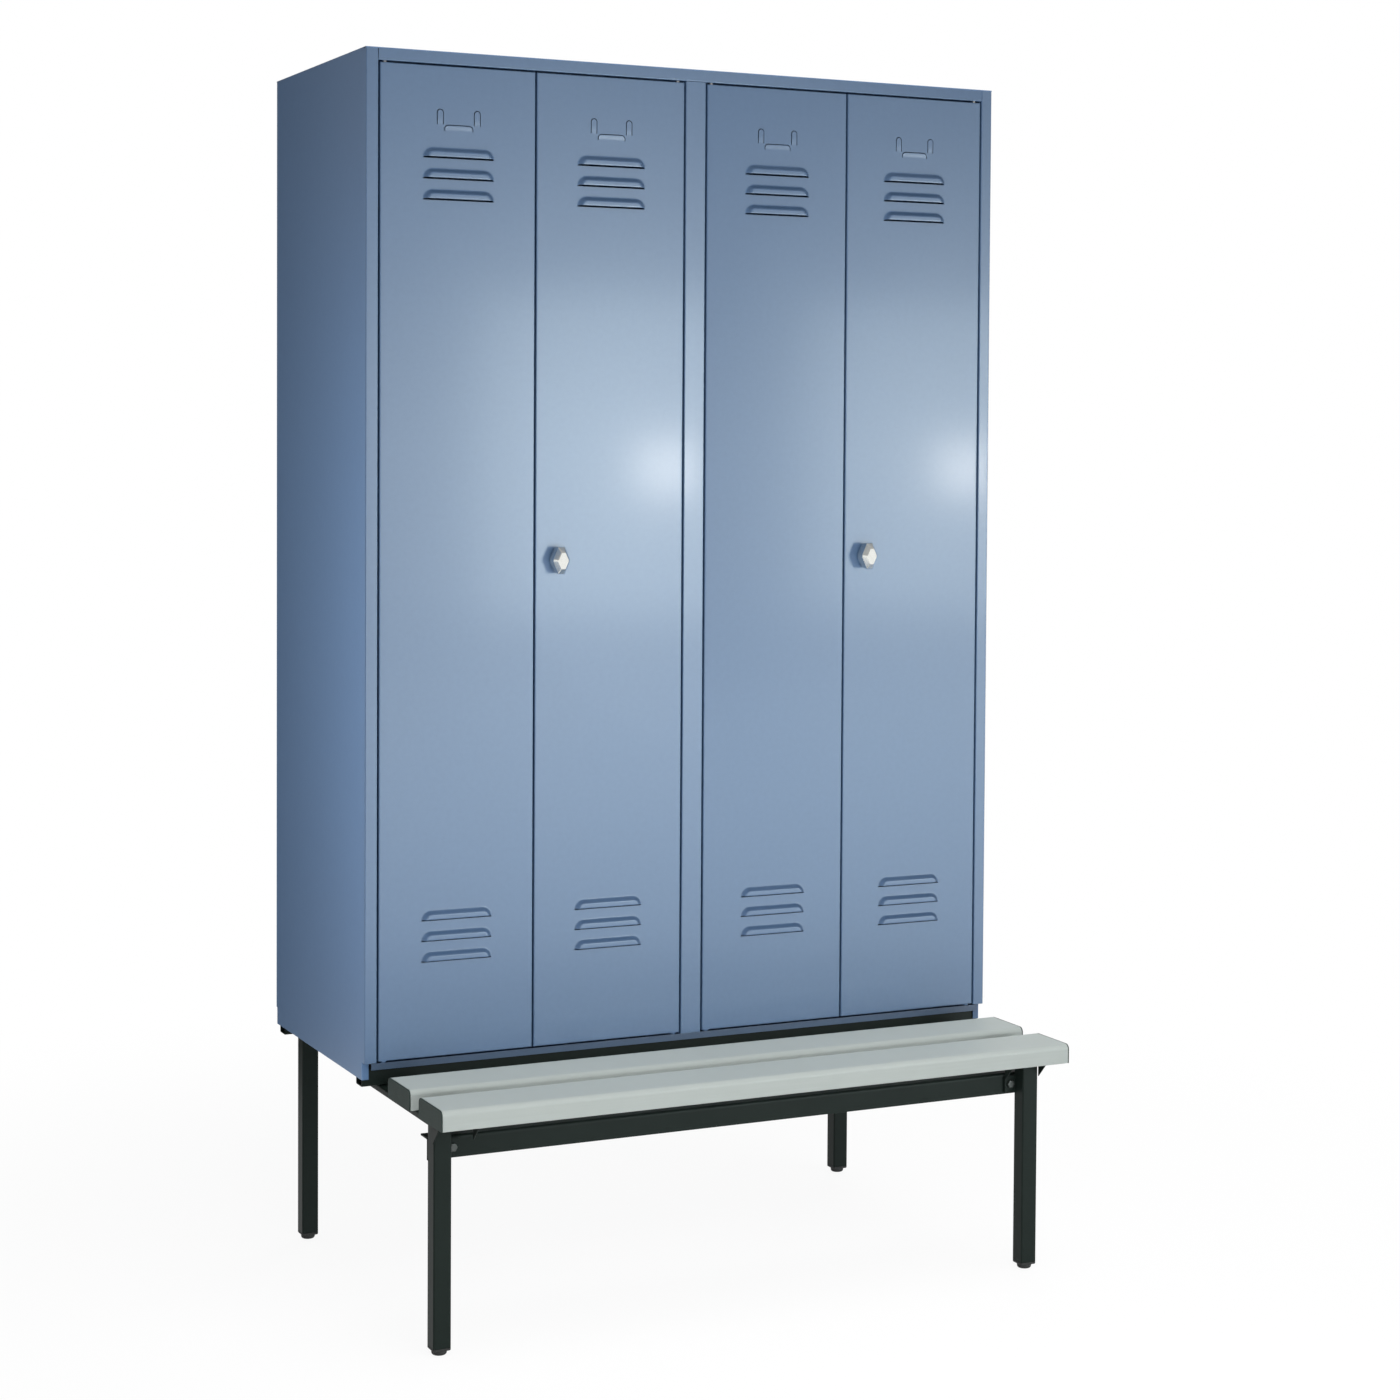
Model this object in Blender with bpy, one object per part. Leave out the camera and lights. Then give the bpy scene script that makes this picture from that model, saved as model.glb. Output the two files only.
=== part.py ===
# Steel clothes locker with four doors, on a square-tube underframe that carries a two-slat bench.
# Metres. +X is to the right seen from the front, the front faces -Y, +Z is up, the floor is Z = 0.
from math import cos, pi, radians, sin

import bmesh
import bpy
from mathutils import Matrix, Vector

for old in list(bpy.data.objects):
    bpy.data.objects.remove(old, do_unlink=True)

# Overall sizes
CABINET_WIDTH = 1.190
CABINET_DEPTH = 0.500
BODY_HEIGHT = 1.700
UNDERFRAME_HEIGHT = 0.390
BENCH_REACH = 0.315

# Sheet steel and the gap left between pieces that touch
SHEET = 0.001
FIT = 0.0003
OVERRUN = 0.002

# Face of the cabinet: stiles, centre post, top rail, and the skirt under them
STILE_WIDTH = 0.021
POST_WIDTH = 0.038
TOP_RAIL_HEIGHT = 0.021
SKIRT_HEIGHT = 0.030
SKIRT_SET_BACK = 0.015
SKIRT_FLANGE = 0.012
SKIRT_REAR_STEP = 0.006
LIP_SET_BACK = 0.0015
REAR_FLANGE = 0.015
FLOOR_FOLD = 0.011
STOP_FLANGE = 0.015

# Doors
DOOR_THICKNESS = 0.020
DOOR_GAP = 0.003
DOOR_RETURN = 0.012
STOP_DIMPLE = 0.004
STOP_DIMPLE_RADIUS = 0.005
STOP_DIMPLE_FROM_EDGE = 0.030

# Door pivots: one rod for each door, from under the floor up through the top rail
PIVOT_FROM_EDGE = 0.010
PIVOT_FROM_FRONT = 0.007
HINGE_ROD_RADIUS = 0.003
HINGE_ROD_END = 0.003
HINGE_ROD_HEAD_RADIUS = 0.0042
HINGE_ROD_HEAD = 0.002
DRAWN_COLLAR_RADIUS = 0.0055

# Louvres: hoods pressed out of the door sheet, open along their lower edge
HOODS_IN_GROUP = 3
HOOD_PITCH = 0.0345
HOOD_WIDTH = 0.125
HOOD_HEIGHT = 0.015
HOOD_REACH = 0.0065
HOOD_CREST_SHARE = 0.75
HOOD_SHOULDER = 0.0025
HOOD_END_SLOPE = 0.013
TOP_HOODS_BELOW_DOOR_TOP = 0.149
BOTTOM_HOODS_ABOVE_DOOR_END = 0.160

# Card holder above the upper louvres: two upright tabs and one lying tab
CARD_WIDTH = 0.056
CARD_HEIGHT = 0.030
TAB_WIDTH = 0.009
TAB_LENGTH = 0.024
TAB_REACH = 0.0016
TAB_SLOPE = 0.0015
LOW_TAB_LENGTH = 0.048
CARD_BELOW_DOOR_TOP = 0.072

# Door stiffener: a hat-shaped channel behind the door sheet
STIFFENER_WIDTH = 0.040
STIFFENER_FLANGE = 0.012
STIFFENER_DEPTH = 0.014
STIFFENER_CLEAR_OF_HOODS = 0.030

# Lock: knob, rose, housing and the turning bolt behind the door
KNOB_ABOVE_DOOR_END = 0.826
KNOB_FROM_EDGE = 0.038
KNOB_WIDTH = 0.030
KNOB_LENGTH = 0.046
KNOB_RIDGE = 0.023
KNOB_REACH = 0.033
KNOB_TIP_WIDTH = 0.012
KNOB_SIDE_LENGTH = 0.006
KNOB_NECK_SHARE = 0.96
KNOB_FACE_SHARE = 0.60
ROSE_RADIUS = 0.0115
ROSE_THICKNESS = 0.002
BARREL_RADIUS = 0.008
SPINDLE_RADIUS = 0.0045
HOUSING_WIDTH = 0.034
HOUSING_LENGTH = 0.050
BOLT_THICKNESS = 0.003
BOLT_WIDTH = 0.018
BOLT_CATCH = 0.014
BOLT_BEHIND_DOOR = 0.0025
RIVET_RADIUS = 0.006
RIVET_HEAD = 0.002

# Fittings inside the compartments
SHELF_BELOW_TOP = 0.300
SHELF_FOLD = 0.020
SHELF_FROM_FRONT = 0.050
DIVIDER_FROM_FRONT = 0.050
DIVIDER_FOLD = 0.010
RAIL_RADIUS = 0.009
RAIL_BELOW_SHELF = 0.060
RAIL_CUP_RADIUS = 0.014
RAIL_CUP_DEPTH = 0.010
HOOK_WIRE = 0.005
HOOK_DROP = 0.034
HOOK_BEND = 0.014
HOOK_DEPTH = 0.010
HOOK_TURN_STEPS = 8
HOOK_START_DEGREES = -40
HOOK_END_DEGREES = 200
HOOK_PLACE_SHARE = 0.55

# Underframe: square tube legs and rails
TUBE = 0.030
TUBE_WALL = 0.002
TUBE_CORNER = 0.002
LEG_INSET = 0.034
FRONT_LEG_FROM_BENCH_EDGE = 0.075
REAR_TUBE_FROM_BACK = 0.020
FRONT_TUBE_SET_BACK = 0.018
FOOT_RIM = 0.004
FOOT_PAD = 0.008
FOOT_PAD_RADIUS = 0.0125
FOOT_PAD_FLAT = 0.0005
FOOT_TOE = 0.0025
FOOT_PLUG = 0.020

# Bench arms: channels that reach from under the cabinet over the front legs
ARM_SHEET = 0.002
ARM_INNER_WIDTH = 0.066
ARM_LIP = 0.011
ARM_GUSSET = 0.026
ARM_NOSE = 0.025
ARM_UNDER_CABINET = 0.200

# Angle bar between the front legs
ANGLE_HEIGHT = 0.036
ANGLE_DEPTH = 0.032
ANGLE_WALL = 0.003
ANGLE_BELOW_ARM = 0.034
TAB_PLATE_REACH = 0.022
TAB_PLATE_MARGIN = 0.003

# Bench slats: hollow plastic sections with end caps
SLAT_WIDTH = 0.105
SLAT_SPACING = 0.148
SLAT_HEIGHT = 0.033
SLAT_WALL = 0.0028
SLAT_EDGE_RADIUS = 0.009
SLAT_END_INSET = 0.019
SLAT_CAP = 0.002
CAP_SPIGOT = 0.012

# Screws and bolts
SCREW_RADIUS = 0.0025
SCREW_HEAD_RADIUS = 0.005
SCREW_HEAD = 0.003
SCREW_TIP = 0.006
BOLT_SHANK_RADIUS = 0.004
BOLT_HEAD_RADIUS = 0.007
BOLT_HEAD = 0.004

# Counts of straight pieces in round outlines
ROUND_STEPS = 16
SMALL_STEPS = 12
EDGE_STEPS = 4

# Places that follow from the sizes
LEFT_X = -CABINET_WIDTH / 2
RIGHT_X = CABINET_WIDTH / 2
FRONT_Y = (BENCH_REACH - CABINET_DEPTH) / 2
BACK_Y = FRONT_Y + CABINET_DEPTH
BENCH_EDGE_Y = FRONT_Y - BENCH_REACH
BASE_Z = UNDERFRAME_HEIGHT
TOP_Z = BASE_Z + BODY_HEIGHT
FACE_END_Z = BASE_Z + SKIRT_HEIGHT
FLOOR_Z = FACE_END_Z - SHEET
OPENING_TOP_Z = TOP_Z - TOP_RAIL_HEIGHT
DOOR_LOW_Z = FLOOR_Z + DOOR_GAP
DOOR_TOP_Z = OPENING_TOP_Z - DOOR_GAP
BAY_WIDTH = (CABINET_WIDTH - 2 * STILE_WIDTH - POST_WIDTH) / 2
DOOR_WIDTH = (BAY_WIDTH - 3 * DOOR_GAP) / 2
STOP_Y = FRONT_Y + DOOR_THICKNESS + STOP_DIMPLE
BACK_PANEL_Y = BACK_Y - SHEET - FIT - SHEET
FRAME_TOP_Z = FLOOR_Z - FLOOR_FOLD - FIT
ARM_TOP_Z = FRAME_TOP_Z - TUBE - FIT
SLAT_LOW_Z = ARM_TOP_Z + FIT
LEG_FRONT_Y = BENCH_EDGE_Y + FRONT_LEG_FROM_BENCH_EDGE
FOOT_HEIGHT = FOOT_RIM + FOOT_PAD


# Materials: painted steel, bright metal, plastic and rubber
def finish(name, colour, roughness, metallic):
    material = bpy.data.materials.new(name)
    material.use_nodes = True
    shader = material.node_tree.nodes["Principled BSDF"]
    shader.inputs["Base Color"].default_value = (*colour, 1.0)
    shader.inputs["Roughness"].default_value = roughness
    shader.inputs["Metallic"].default_value = metallic
    return material


BLUE = (0.155, 0.245, 0.380)
BLACK = (0.012, 0.018, 0.017)
PALE = (0.500, 0.540, 0.520)
CAP_GREY = (0.032, 0.045, 0.041)
BRIGHT = (0.720, 0.720, 0.700)
ZINC = (0.560, 0.570, 0.580)
RUBBER = (0.020, 0.020, 0.020)
LOOKS = {
    "blue": (BLUE, 0.38, 0.0),
    "black": (BLACK, 0.40, 0.0),
    "pale": (PALE, 0.32, 0.0),
    "cap": (CAP_GREY, 0.45, 0.0),
    "bright": (BRIGHT, 0.18, 1.0),
    "zinc": (ZINC, 0.40, 1.0),
    "rubber": (RUBBER, 0.70, 0.0),
}


# Node making: every mesh is closed and its faces point out
def node(name, bm, look, origin=(0, 0, 0), smooth=False, cutter=False):
    bmesh.ops.recalc_face_normals(bm, faces=bm.faces[:])
    mesh = bpy.data.meshes.new(name)
    bm.to_mesh(mesh)
    bm.free()
    mesh.transform(Matrix.Translation(-Vector(origin)))
    thing = bpy.data.objects.new(name, mesh)
    thing.location = origin
    bpy.context.scene.collection.objects.link(thing)
    if cutter:
        thing.hide_render = True
        thing.display_type = "WIRE"
        return thing
    mesh.materials.append(finish(name, *LOOKS[look]))
    if smooth:
        mesh.shade_smooth()
        mesh.set_sharp_from_angle(angle=radians(35))
    return thing


def combine(thing, bm, operation):
    tool = node(thing.name + "_tool", bm, None, tuple(thing.location), cutter=True)
    step = thing.modifiers.new(operation.title(), "BOOLEAN")
    step.operation = operation
    step.solver = "EXACT"
    step.object = tool


# A block between two corners
def add_box(bm, low, high):
    size = [high[i] - low[i] for i in range(3)]
    centre = [(high[i] + low[i]) / 2 for i in range(3)]
    place = Matrix.Translation(centre) @ Matrix.Diagonal((*size, 1.0))
    bmesh.ops.create_cube(bm, size=1.0, matrix=place)


# An outline drawn across one axis and drawn out along it: (y, z) along X, (x, z) along Y, (x, y) along Z
def add_prism(bm, outline, axis, start, end):
    def corner(point, along):
        spot = list(point)
        spot.insert("XYZ".index(axis), along)
        return bm.verts.new(spot)

    near = [corner(point, start) for point in outline]
    far = [corner(point, end) for point in outline]
    bm.faces.new(near)
    bm.faces.new(far)
    for i in range(len(outline)):
        k = (i + 1) % len(outline)
        bm.faces.new((near[i], near[k], far[k], far[i]))


# The outline of a folded sheet: a path along one face of the sheet, and the sheet's thickness to its left
def folded(path, thickness):
    points = [Vector(point) for point in path]
    inner = []
    for i, point in enumerate(points):
        ways = []
        if i > 0:
            ways.append((point - points[i - 1]).normalized())
        if i < len(points) - 1:
            ways.append((points[i + 1] - point).normalized())
        normals = [Vector((-way.y, way.x)) for way in ways]
        middle = sum(normals, Vector((0, 0))).normalized()
        inner.append(point + middle * (thickness / middle.dot(normals[0])))
    return [tuple(point) for point in points] + [tuple(point) for point in reversed(inner)]


# A body made of loops joined one after another: its ends are filled, or a ring joins its last loop to its first
def add_loops(bm, loops, ring=False):
    rows = [[bm.verts.new(point) for point in loop] for loop in loops]
    pairs = list(zip(rows, rows[1:]))
    if ring:
        pairs.append((rows[-1], rows[0]))
    else:
        bm.faces.new(rows[0])
        bm.faces.new(rows[-1])
    for row, after in pairs:
        for i in range(len(row)):
            k = (i + 1) % len(row)
            bm.faces.new((row[i], row[k], after[k], after[i]))


def circle(centre, radius, steps, axis):
    around = []
    for i in range(steps):
        angle = 2 * pi * i / steps
        spot = [radius * cos(angle), radius * sin(angle)]
        spot.insert("XYZ".index(axis), 0)
        around.append(Vector(centre) + Vector(spot))
    return around


# A turned body: (distance along the axis, radius) pairs from one end to the other
def add_turned(bm, centre, axis, profile, steps=SMALL_STEPS, ring=False):
    way = Vector([1 if name == axis else 0 for name in "XYZ"])
    loops = [circle(Vector(centre) + way * along, radius, steps, axis) for along, radius in profile]
    add_loops(bm, loops, ring)


def add_rod(bm, centre, axis, start, end, radius, steps=SMALL_STEPS):
    add_turned(bm, centre, axis, [(start, radius), (end, radius)], steps)


# A square outline with its corners rounded
def square(half, corner, middle=(0, 0)):
    points = []
    for quarter in range(4):
        centre_angle = pi / 4 + quarter * pi / 2
        cx = (half - corner) * (1 if cos(centre_angle) > 0 else -1)
        cy = (half - corner) * (1 if sin(centre_angle) > 0 else -1)
        for step in (0, 1, 2):
            angle = quarter * pi / 2 + step * pi / 4
            points.append((middle[0] + cx + corner * cos(angle), middle[1] + cy + corner * sin(angle)))
    return points


# A square tube, open at both ends
def add_tube(bm, middle, axis, start, end):
    outer = square(TUBE / 2, TUBE_CORNER, middle)
    inner = square(TUBE / 2 - TUBE_WALL, TUBE_CORNER / 2, middle)
    loops = []
    for outline, along in ((outer, start), (outer, end), (inner, end), (inner, start)):
        loop = [list(point) for point in outline]
        for spot in loop:
            spot.insert("XYZ".index(axis), along)
        loops.append(loop)
    add_loops(bm, loops, ring=True)


# Side panels: one sheet with the stile and its return at the front, a flange at the back, and a skirt
def side_panel(name, side):
    edge_x = side * CABINET_WIDTH / 2
    stile_x = edge_x - side * STILE_WIDTH
    flange_x = edge_x - side * (SHEET + REAR_FLANGE)
    path = [(stile_x, STOP_Y), (stile_x, FRONT_Y), (edge_x, FRONT_Y), (edge_x, BACK_Y), (flange_x, BACK_Y)]
    bm = bmesh.new()
    add_prism(bm, folded(path, side * SHEET), "Z", BASE_Z, TOP_Z - SHEET - FIT)
    panel = node(name, bm, "blue")

    outside_x = edge_x + side * OVERRUN
    inside_x = stile_x - side * OVERRUN
    behind_stile_x = stile_x + side * OVERRUN
    skirt_y = FRONT_Y + SKIRT_SET_BACK
    step = [(outside_x, FRONT_Y - OVERRUN), (outside_x, skirt_y), (behind_stile_x, skirt_y),
            (behind_stile_x, STOP_Y + OVERRUN), (inside_x, STOP_Y + OVERRUN), (inside_x, FRONT_Y - OVERRUN)]
    cut = bmesh.new()
    add_prism(cut, step, "Z", BASE_Z - OVERRUN, FACE_END_Z)
    rear = sorted((outside_x, flange_x - side * OVERRUN))
    add_box(cut, (rear[0], BACK_Y - SKIRT_REAR_STEP, BASE_Z - OVERRUN), (rear[1], BACK_Y + OVERRUN, FACE_END_Z))
    combine(panel, cut, "DIFFERENCE")

    across = sorted((edge_x - side * SHEET / 2, edge_x - side * SKIRT_FLANGE))
    flange = bmesh.new()
    add_box(flange, (across[0], skirt_y + FIT, BASE_Z + FIT), (across[1], skirt_y + FIT + SHEET, FACE_END_Z - FIT))
    combine(panel, flange, "UNION")


side_panel("side_panel_left", -1)
side_panel("side_panel_right", 1)


# Top: a sheet over the side panels, folded down at the front into the top rail and its stop flange,
# with a pressed dimple in the flange for each door to close against
def pivots():
    spots = []
    for bay_x in (LEFT_X + STILE_WIDTH, POST_WIDTH / 2):
        spots.append(bay_x + DOOR_GAP + PIVOT_FROM_EDGE)
        spots.append(bay_x + BAY_WIDTH - DOOR_GAP - PIVOT_FROM_EDGE)
    return spots


PIVOT_Y = FRONT_Y + PIVOT_FROM_FRONT
RAIL_END_X = RIGHT_X - STILE_WIDTH - FIT
RAIL_PATH = [(STOP_Y, OPENING_TOP_Z - STOP_FLANGE), (STOP_Y, OPENING_TOP_Z), (FRONT_Y, OPENING_TOP_Z),
             (FRONT_Y, TOP_Z - SHEET / 2)]
top_mesh = bmesh.new()
add_box(top_mesh, (LEFT_X, FRONT_Y, TOP_Z - SHEET), (RIGHT_X, BACK_Y, TOP_Z))
top_panel = node("top_panel", top_mesh, "blue")
rail_mesh = bmesh.new()
add_prism(rail_mesh, folded(RAIL_PATH, -SHEET), "X", -RAIL_END_X, RAIL_END_X)
combine(top_panel, rail_mesh, "UNION")
dimples = bmesh.new()
for bay_x in (LEFT_X + STILE_WIDTH, POST_WIDTH / 2):
    meeting_x = bay_x + BAY_WIDTH / 2
    for dimple_x in (meeting_x - STOP_DIMPLE_FROM_EDGE, meeting_x + STOP_DIMPLE_FROM_EDGE):
        dimple_spot = (dimple_x, STOP_Y, OPENING_TOP_Z - STOP_FLANGE / 2)
        add_rod(dimples, dimple_spot, "Y", FIT - STOP_DIMPLE, SHEET / 2, STOP_DIMPLE_RADIUS)
combine(top_panel, dimples, "UNION")
top_holes = bmesh.new()
for pivot_x in pivots():
    pivot_spot = (pivot_x, PIVOT_Y, OPENING_TOP_Z)
    add_rod(top_holes, pivot_spot, "Z", -OVERRUN, SHEET + OVERRUN, HINGE_ROD_RADIUS + FIT)
combine(top_panel, top_holes, "DIFFERENCE")


# An upside-down tray: a sheet with its four edges folded down
def tray(name, x_range, y_range, top_z, fold):
    def loop(inset, z):
        low_x, high_x = x_range[0] + inset, x_range[1] - inset
        low_y, high_y = y_range[0] + inset, y_range[1] - inset
        return [(low_x, low_y, z), (high_x, low_y, z), (high_x, high_y, z), (low_x, high_y, z)]

    bm = bmesh.new()
    add_loops(bm, [loop(0, top_z), loop(0, top_z - fold), loop(SHEET, top_z - fold), loop(SHEET, top_z - SHEET)])
    return node(name, bm, "blue")


# Floor: a tray on the underframe, cut out at its front corners and drilled for the hinge rods
WALL_X = RIGHT_X - SHEET - FIT
INNER_BACK_Y = BACK_PANEL_Y - FIT
floor_panel = tray("floor_panel", (-WALL_X, WALL_X), (FRONT_Y + LIP_SET_BACK, INNER_BACK_Y), FLOOR_Z, FLOOR_FOLD)
floor_cuts = bmesh.new()
for pivot_x in pivots():
    pivot_spot = (pivot_x, PIVOT_Y, FLOOR_Z)
    add_rod(floor_cuts, pivot_spot, "Z", -SHEET - OVERRUN, OVERRUN, HINGE_ROD_RADIUS + FIT)
NOTCH_BACK_Y = FRONT_Y + SKIRT_SET_BACK + SHEET + 2 * FIT
for side in (-1, 1):
    notch = sorted((side * (RIGHT_X - SKIRT_FLANGE - FIT), side * RIGHT_X))
    notch_low_z = FLOOR_Z - FLOOR_FOLD - OVERRUN
    add_box(floor_cuts, (notch[0], FRONT_Y - OVERRUN, notch_low_z), (notch[1], NOTCH_BACK_Y, FLOOR_Z + OVERRUN))
combine(floor_panel, floor_cuts, "DIFFERENCE")

# Back: a flat sheet in front of the side panels' rear flanges
back_mesh = bmesh.new()
BACK_LOW_Z = FLOOR_Z - FLOOR_FOLD
add_box(back_mesh, (-WALL_X, BACK_PANEL_Y, BACK_LOW_Z), (WALL_X, BACK_PANEL_Y + SHEET, TOP_Z - SHEET - FIT))
node("back_panel", back_mesh, "blue")

# Centre post: a folded channel between the two pairs of doors, and the partition behind it
post_mesh = bmesh.new()
POST_BACK_Y = STOP_Y - FIT
POST_PATH = [(-POST_WIDTH / 2, POST_BACK_Y), (-POST_WIDTH / 2, FRONT_Y), (POST_WIDTH / 2, FRONT_Y),
             (POST_WIDTH / 2, POST_BACK_Y)]
add_prism(post_mesh, folded(POST_PATH, SHEET), "Z", FLOOR_Z + FIT, OPENING_TOP_Z - FIT)
node("centre_post", post_mesh, "blue")
PARTITION_FRONT_Y = FRONT_Y + SHEET + FIT
BEHIND_STOP_Y = STOP_Y + SHEET + FIT
UNDER_STOP_Z = OPENING_TOP_Z - STOP_FLANGE - FIT
PARTITION_TOP_Z = TOP_Z - SHEET - FIT
PARTITION_OUTLINE = [(PARTITION_FRONT_Y, FLOOR_Z + FIT), (INNER_BACK_Y, FLOOR_Z + FIT),
                     (INNER_BACK_Y, PARTITION_TOP_Z), (BEHIND_STOP_Y, PARTITION_TOP_Z),
                     (BEHIND_STOP_Y, UNDER_STOP_Z), (PARTITION_FRONT_Y, UNDER_STOP_Z)]
partition_mesh = bmesh.new()
add_prism(partition_mesh, PARTITION_OUTLINE, "X", -SHEET / 2, SHEET / 2)
node("centre_partition", partition_mesh, "blue")

# Fittings of each compartment: hat shelf, divider below it, and a clothes rail through the divider
SHELF_TOP_Z = TOP_Z - SHELF_BELOW_TOP
SHELF_LOW_Z = SHELF_TOP_Z - SHELF_FOLD
RAIL_Z = SHELF_LOW_Z - RAIL_BELOW_SHELF
RAIL_Y = (FRONT_Y + BACK_Y) / 2
DIVIDER_Y = FRONT_Y + DIVIDER_FROM_FRONT
BAYS = {"left": (-WALL_X, -SHEET / 2 - FIT), "right": (SHEET / 2 + FIT, WALL_X)}
hook_spans = []
for bay, (low_x, high_x) in BAYS.items():
    tray("hat_shelf_" + bay, (low_x, high_x), (FRONT_Y + SHELF_FROM_FRONT, INNER_BACK_Y), SHELF_TOP_Z, SHELF_FOLD)
    middle_x = (low_x + high_x) / 2
    divider_path = [(middle_x + DIVIDER_FOLD, DIVIDER_Y), (middle_x, DIVIDER_Y), (middle_x, INNER_BACK_Y)]
    divider_mesh = bmesh.new()
    add_prism(divider_mesh, folded(divider_path, SHEET), "Z", FLOOR_Z + FIT, SHELF_LOW_Z - FIT)
    divider = node("divider_" + bay, divider_mesh, "blue")
    rail_hole = bmesh.new()
    rail_spot = (middle_x, RAIL_Y, RAIL_Z)
    add_rod(rail_hole, rail_spot, "X", -OVERRUN, SHEET + OVERRUN, RAIL_RADIUS + FIT, ROUND_STEPS)
    combine(divider, rail_hole, "DIFFERENCE")

    rail_low_x = low_x + FIT
    rail_high_x = high_x - FIT
    profile = [(rail_low_x, RAIL_CUP_RADIUS), (rail_low_x + RAIL_CUP_DEPTH, RAIL_CUP_RADIUS),
               (rail_low_x + RAIL_CUP_DEPTH, RAIL_RADIUS), (rail_high_x - RAIL_CUP_DEPTH, RAIL_RADIUS),
               (rail_high_x - RAIL_CUP_DEPTH, RAIL_CUP_RADIUS), (rail_high_x, RAIL_CUP_RADIUS)]
    rod_mesh = bmesh.new()
    add_turned(rod_mesh, (0, RAIL_Y, RAIL_Z), "X", profile, ROUND_STEPS)
    node("clothes_rail_" + bay, rod_mesh, "zinc", smooth=True)
    hook_spans.append((low_x, middle_x))
    hook_spans.append((middle_x, high_x))


# Coat hooks: flat wire bent over the rail, straight down, and up again to the front
def hook_path():
    grip = RAIL_RADIUS + FIT
    points = []
    for step in range(HOOK_TURN_STEPS + 1):
        angle = radians(HOOK_START_DEGREES + (180 - HOOK_START_DEGREES) * step / HOOK_TURN_STEPS)
        points.append((RAIL_Y - grip * cos(angle), RAIL_Z + grip * sin(angle)))
    low_z = RAIL_Z - HOOK_DROP
    for step in range(HOOK_TURN_STEPS + 1):
        angle = radians(HOOK_END_DEGREES * step / HOOK_TURN_STEPS)
        points.append((RAIL_Y + grip - HOOK_BEND + HOOK_BEND * cos(angle), low_z - HOOK_BEND * sin(angle)))
    return points


for number, (low_x, high_x) in enumerate(hook_spans, 1):
    hook_x = low_x + (high_x - low_x) * HOOK_PLACE_SHARE
    hook_mesh = bmesh.new()
    add_prism(hook_mesh, folded(hook_path(), HOOK_WIRE), "X", hook_x - HOOK_DEPTH / 2, hook_x + HOOK_DEPTH / 2)
    node("coat_hook_%d" % number, hook_mesh, "zinc")

# Hinge rods: each has a head under the floor and ends above the top rail's lower fold
for number, pivot_x in enumerate(pivots(), 1):
    under_z = FLOOR_Z - SHEET - FIT
    profile = [(under_z - HINGE_ROD_HEAD, HINGE_ROD_HEAD_RADIUS), (under_z, HINGE_ROD_HEAD_RADIUS),
               (under_z, HINGE_ROD_RADIUS), (OPENING_TOP_Z + SHEET + HINGE_ROD_END, HINGE_ROD_RADIUS)]
    rod_mesh = bmesh.new()
    add_turned(rod_mesh, (pivot_x, PIVOT_Y, 0), "Z", profile)
    node("hinge_rod_%d" % number, rod_mesh, "zinc", smooth=True)


# Doors: pans of sheet steel with louvres, card tabs, a welded stiffener and folded edges with rod holes
def hood_loop(middle_x, slot_z, grow, y, drop, half):
    top_z = slot_z + HOOD_HEIGHT - drop - grow
    low_z = slot_z - (FIT if grow > 0 else 0)
    end = half - grow
    slope_end = end + HOOD_END_SLOPE * (top_z - low_z) / HOOD_HEIGHT
    return [(middle_x - slope_end, y, low_z), (middle_x - end, y, top_z), (middle_x + end, y, top_z),
            (middle_x + slope_end, y, low_z)]


def add_hood(bm, middle_x, slot_z, grow):
    half = HOOD_WIDTH / 2 - HOOD_END_SLOPE
    back_y = FRONT_Y + (SHEET + OVERRUN if grow > 0 else SHEET / 2)
    add_loops(bm, [
        hood_loop(middle_x, slot_z, grow, back_y, 0, half),
        hood_loop(middle_x, slot_z, grow, FRONT_Y + grow, 0, half),
        hood_loop(middle_x, slot_z, grow, FRONT_Y - HOOD_REACH * HOOD_CREST_SHARE + grow, HOOD_SHOULDER, half),
        hood_loop(middle_x, slot_z, grow, FRONT_Y - HOOD_REACH + grow, 2 * HOOD_SHOULDER, half - HOOD_SHOULDER),
    ])


def hood_slots():
    down = [DOOR_TOP_Z - TOP_HOODS_BELOW_DOOR_TOP - i * HOOD_PITCH for i in range(HOODS_IN_GROUP)]
    up = [DOOR_LOW_Z + BOTTOM_HOODS_ABOVE_DOOR_END + i * HOOD_PITCH for i in range(HOODS_IN_GROUP)]
    return down + up


def add_card_tab(bm, middle_x, middle_z, width, length):
    def loop(inset, y):
        low_x, high_x = middle_x - width / 2 + inset, middle_x + width / 2 - inset
        low_z, high_z = middle_z - length / 2 + inset, middle_z + length / 2 - inset
        return [(low_x, y, low_z), (high_x, y, low_z), (high_x, y, high_z), (low_x, y, high_z)]

    add_loops(bm, [loop(0, FRONT_Y + SHEET / 2), loop(0, FRONT_Y), loop(TAB_SLOPE, FRONT_Y - TAB_REACH)])


def add_stiffener(bm, middle_x):
    seat_y = FRONT_Y + SHEET / 2
    crown_y = seat_y + STIFFENER_DEPTH
    half = STIFFENER_WIDTH / 2
    foot = half + STIFFENER_FLANGE
    path = [(middle_x - foot, seat_y), (middle_x - half, seat_y), (middle_x - half, crown_y),
            (middle_x + half, crown_y), (middle_x + half, seat_y), (middle_x + foot, seat_y)]
    slots = sorted(hood_slots())
    low_z = slots[HOODS_IN_GROUP - 1] + HOOD_HEIGHT + STIFFENER_CLEAR_OF_HOODS
    high_z = slots[HOODS_IN_GROUP] - STIFFENER_CLEAR_OF_HOODS
    add_prism(bm, folded(path, SHEET), "Z", low_z, high_z)


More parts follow.
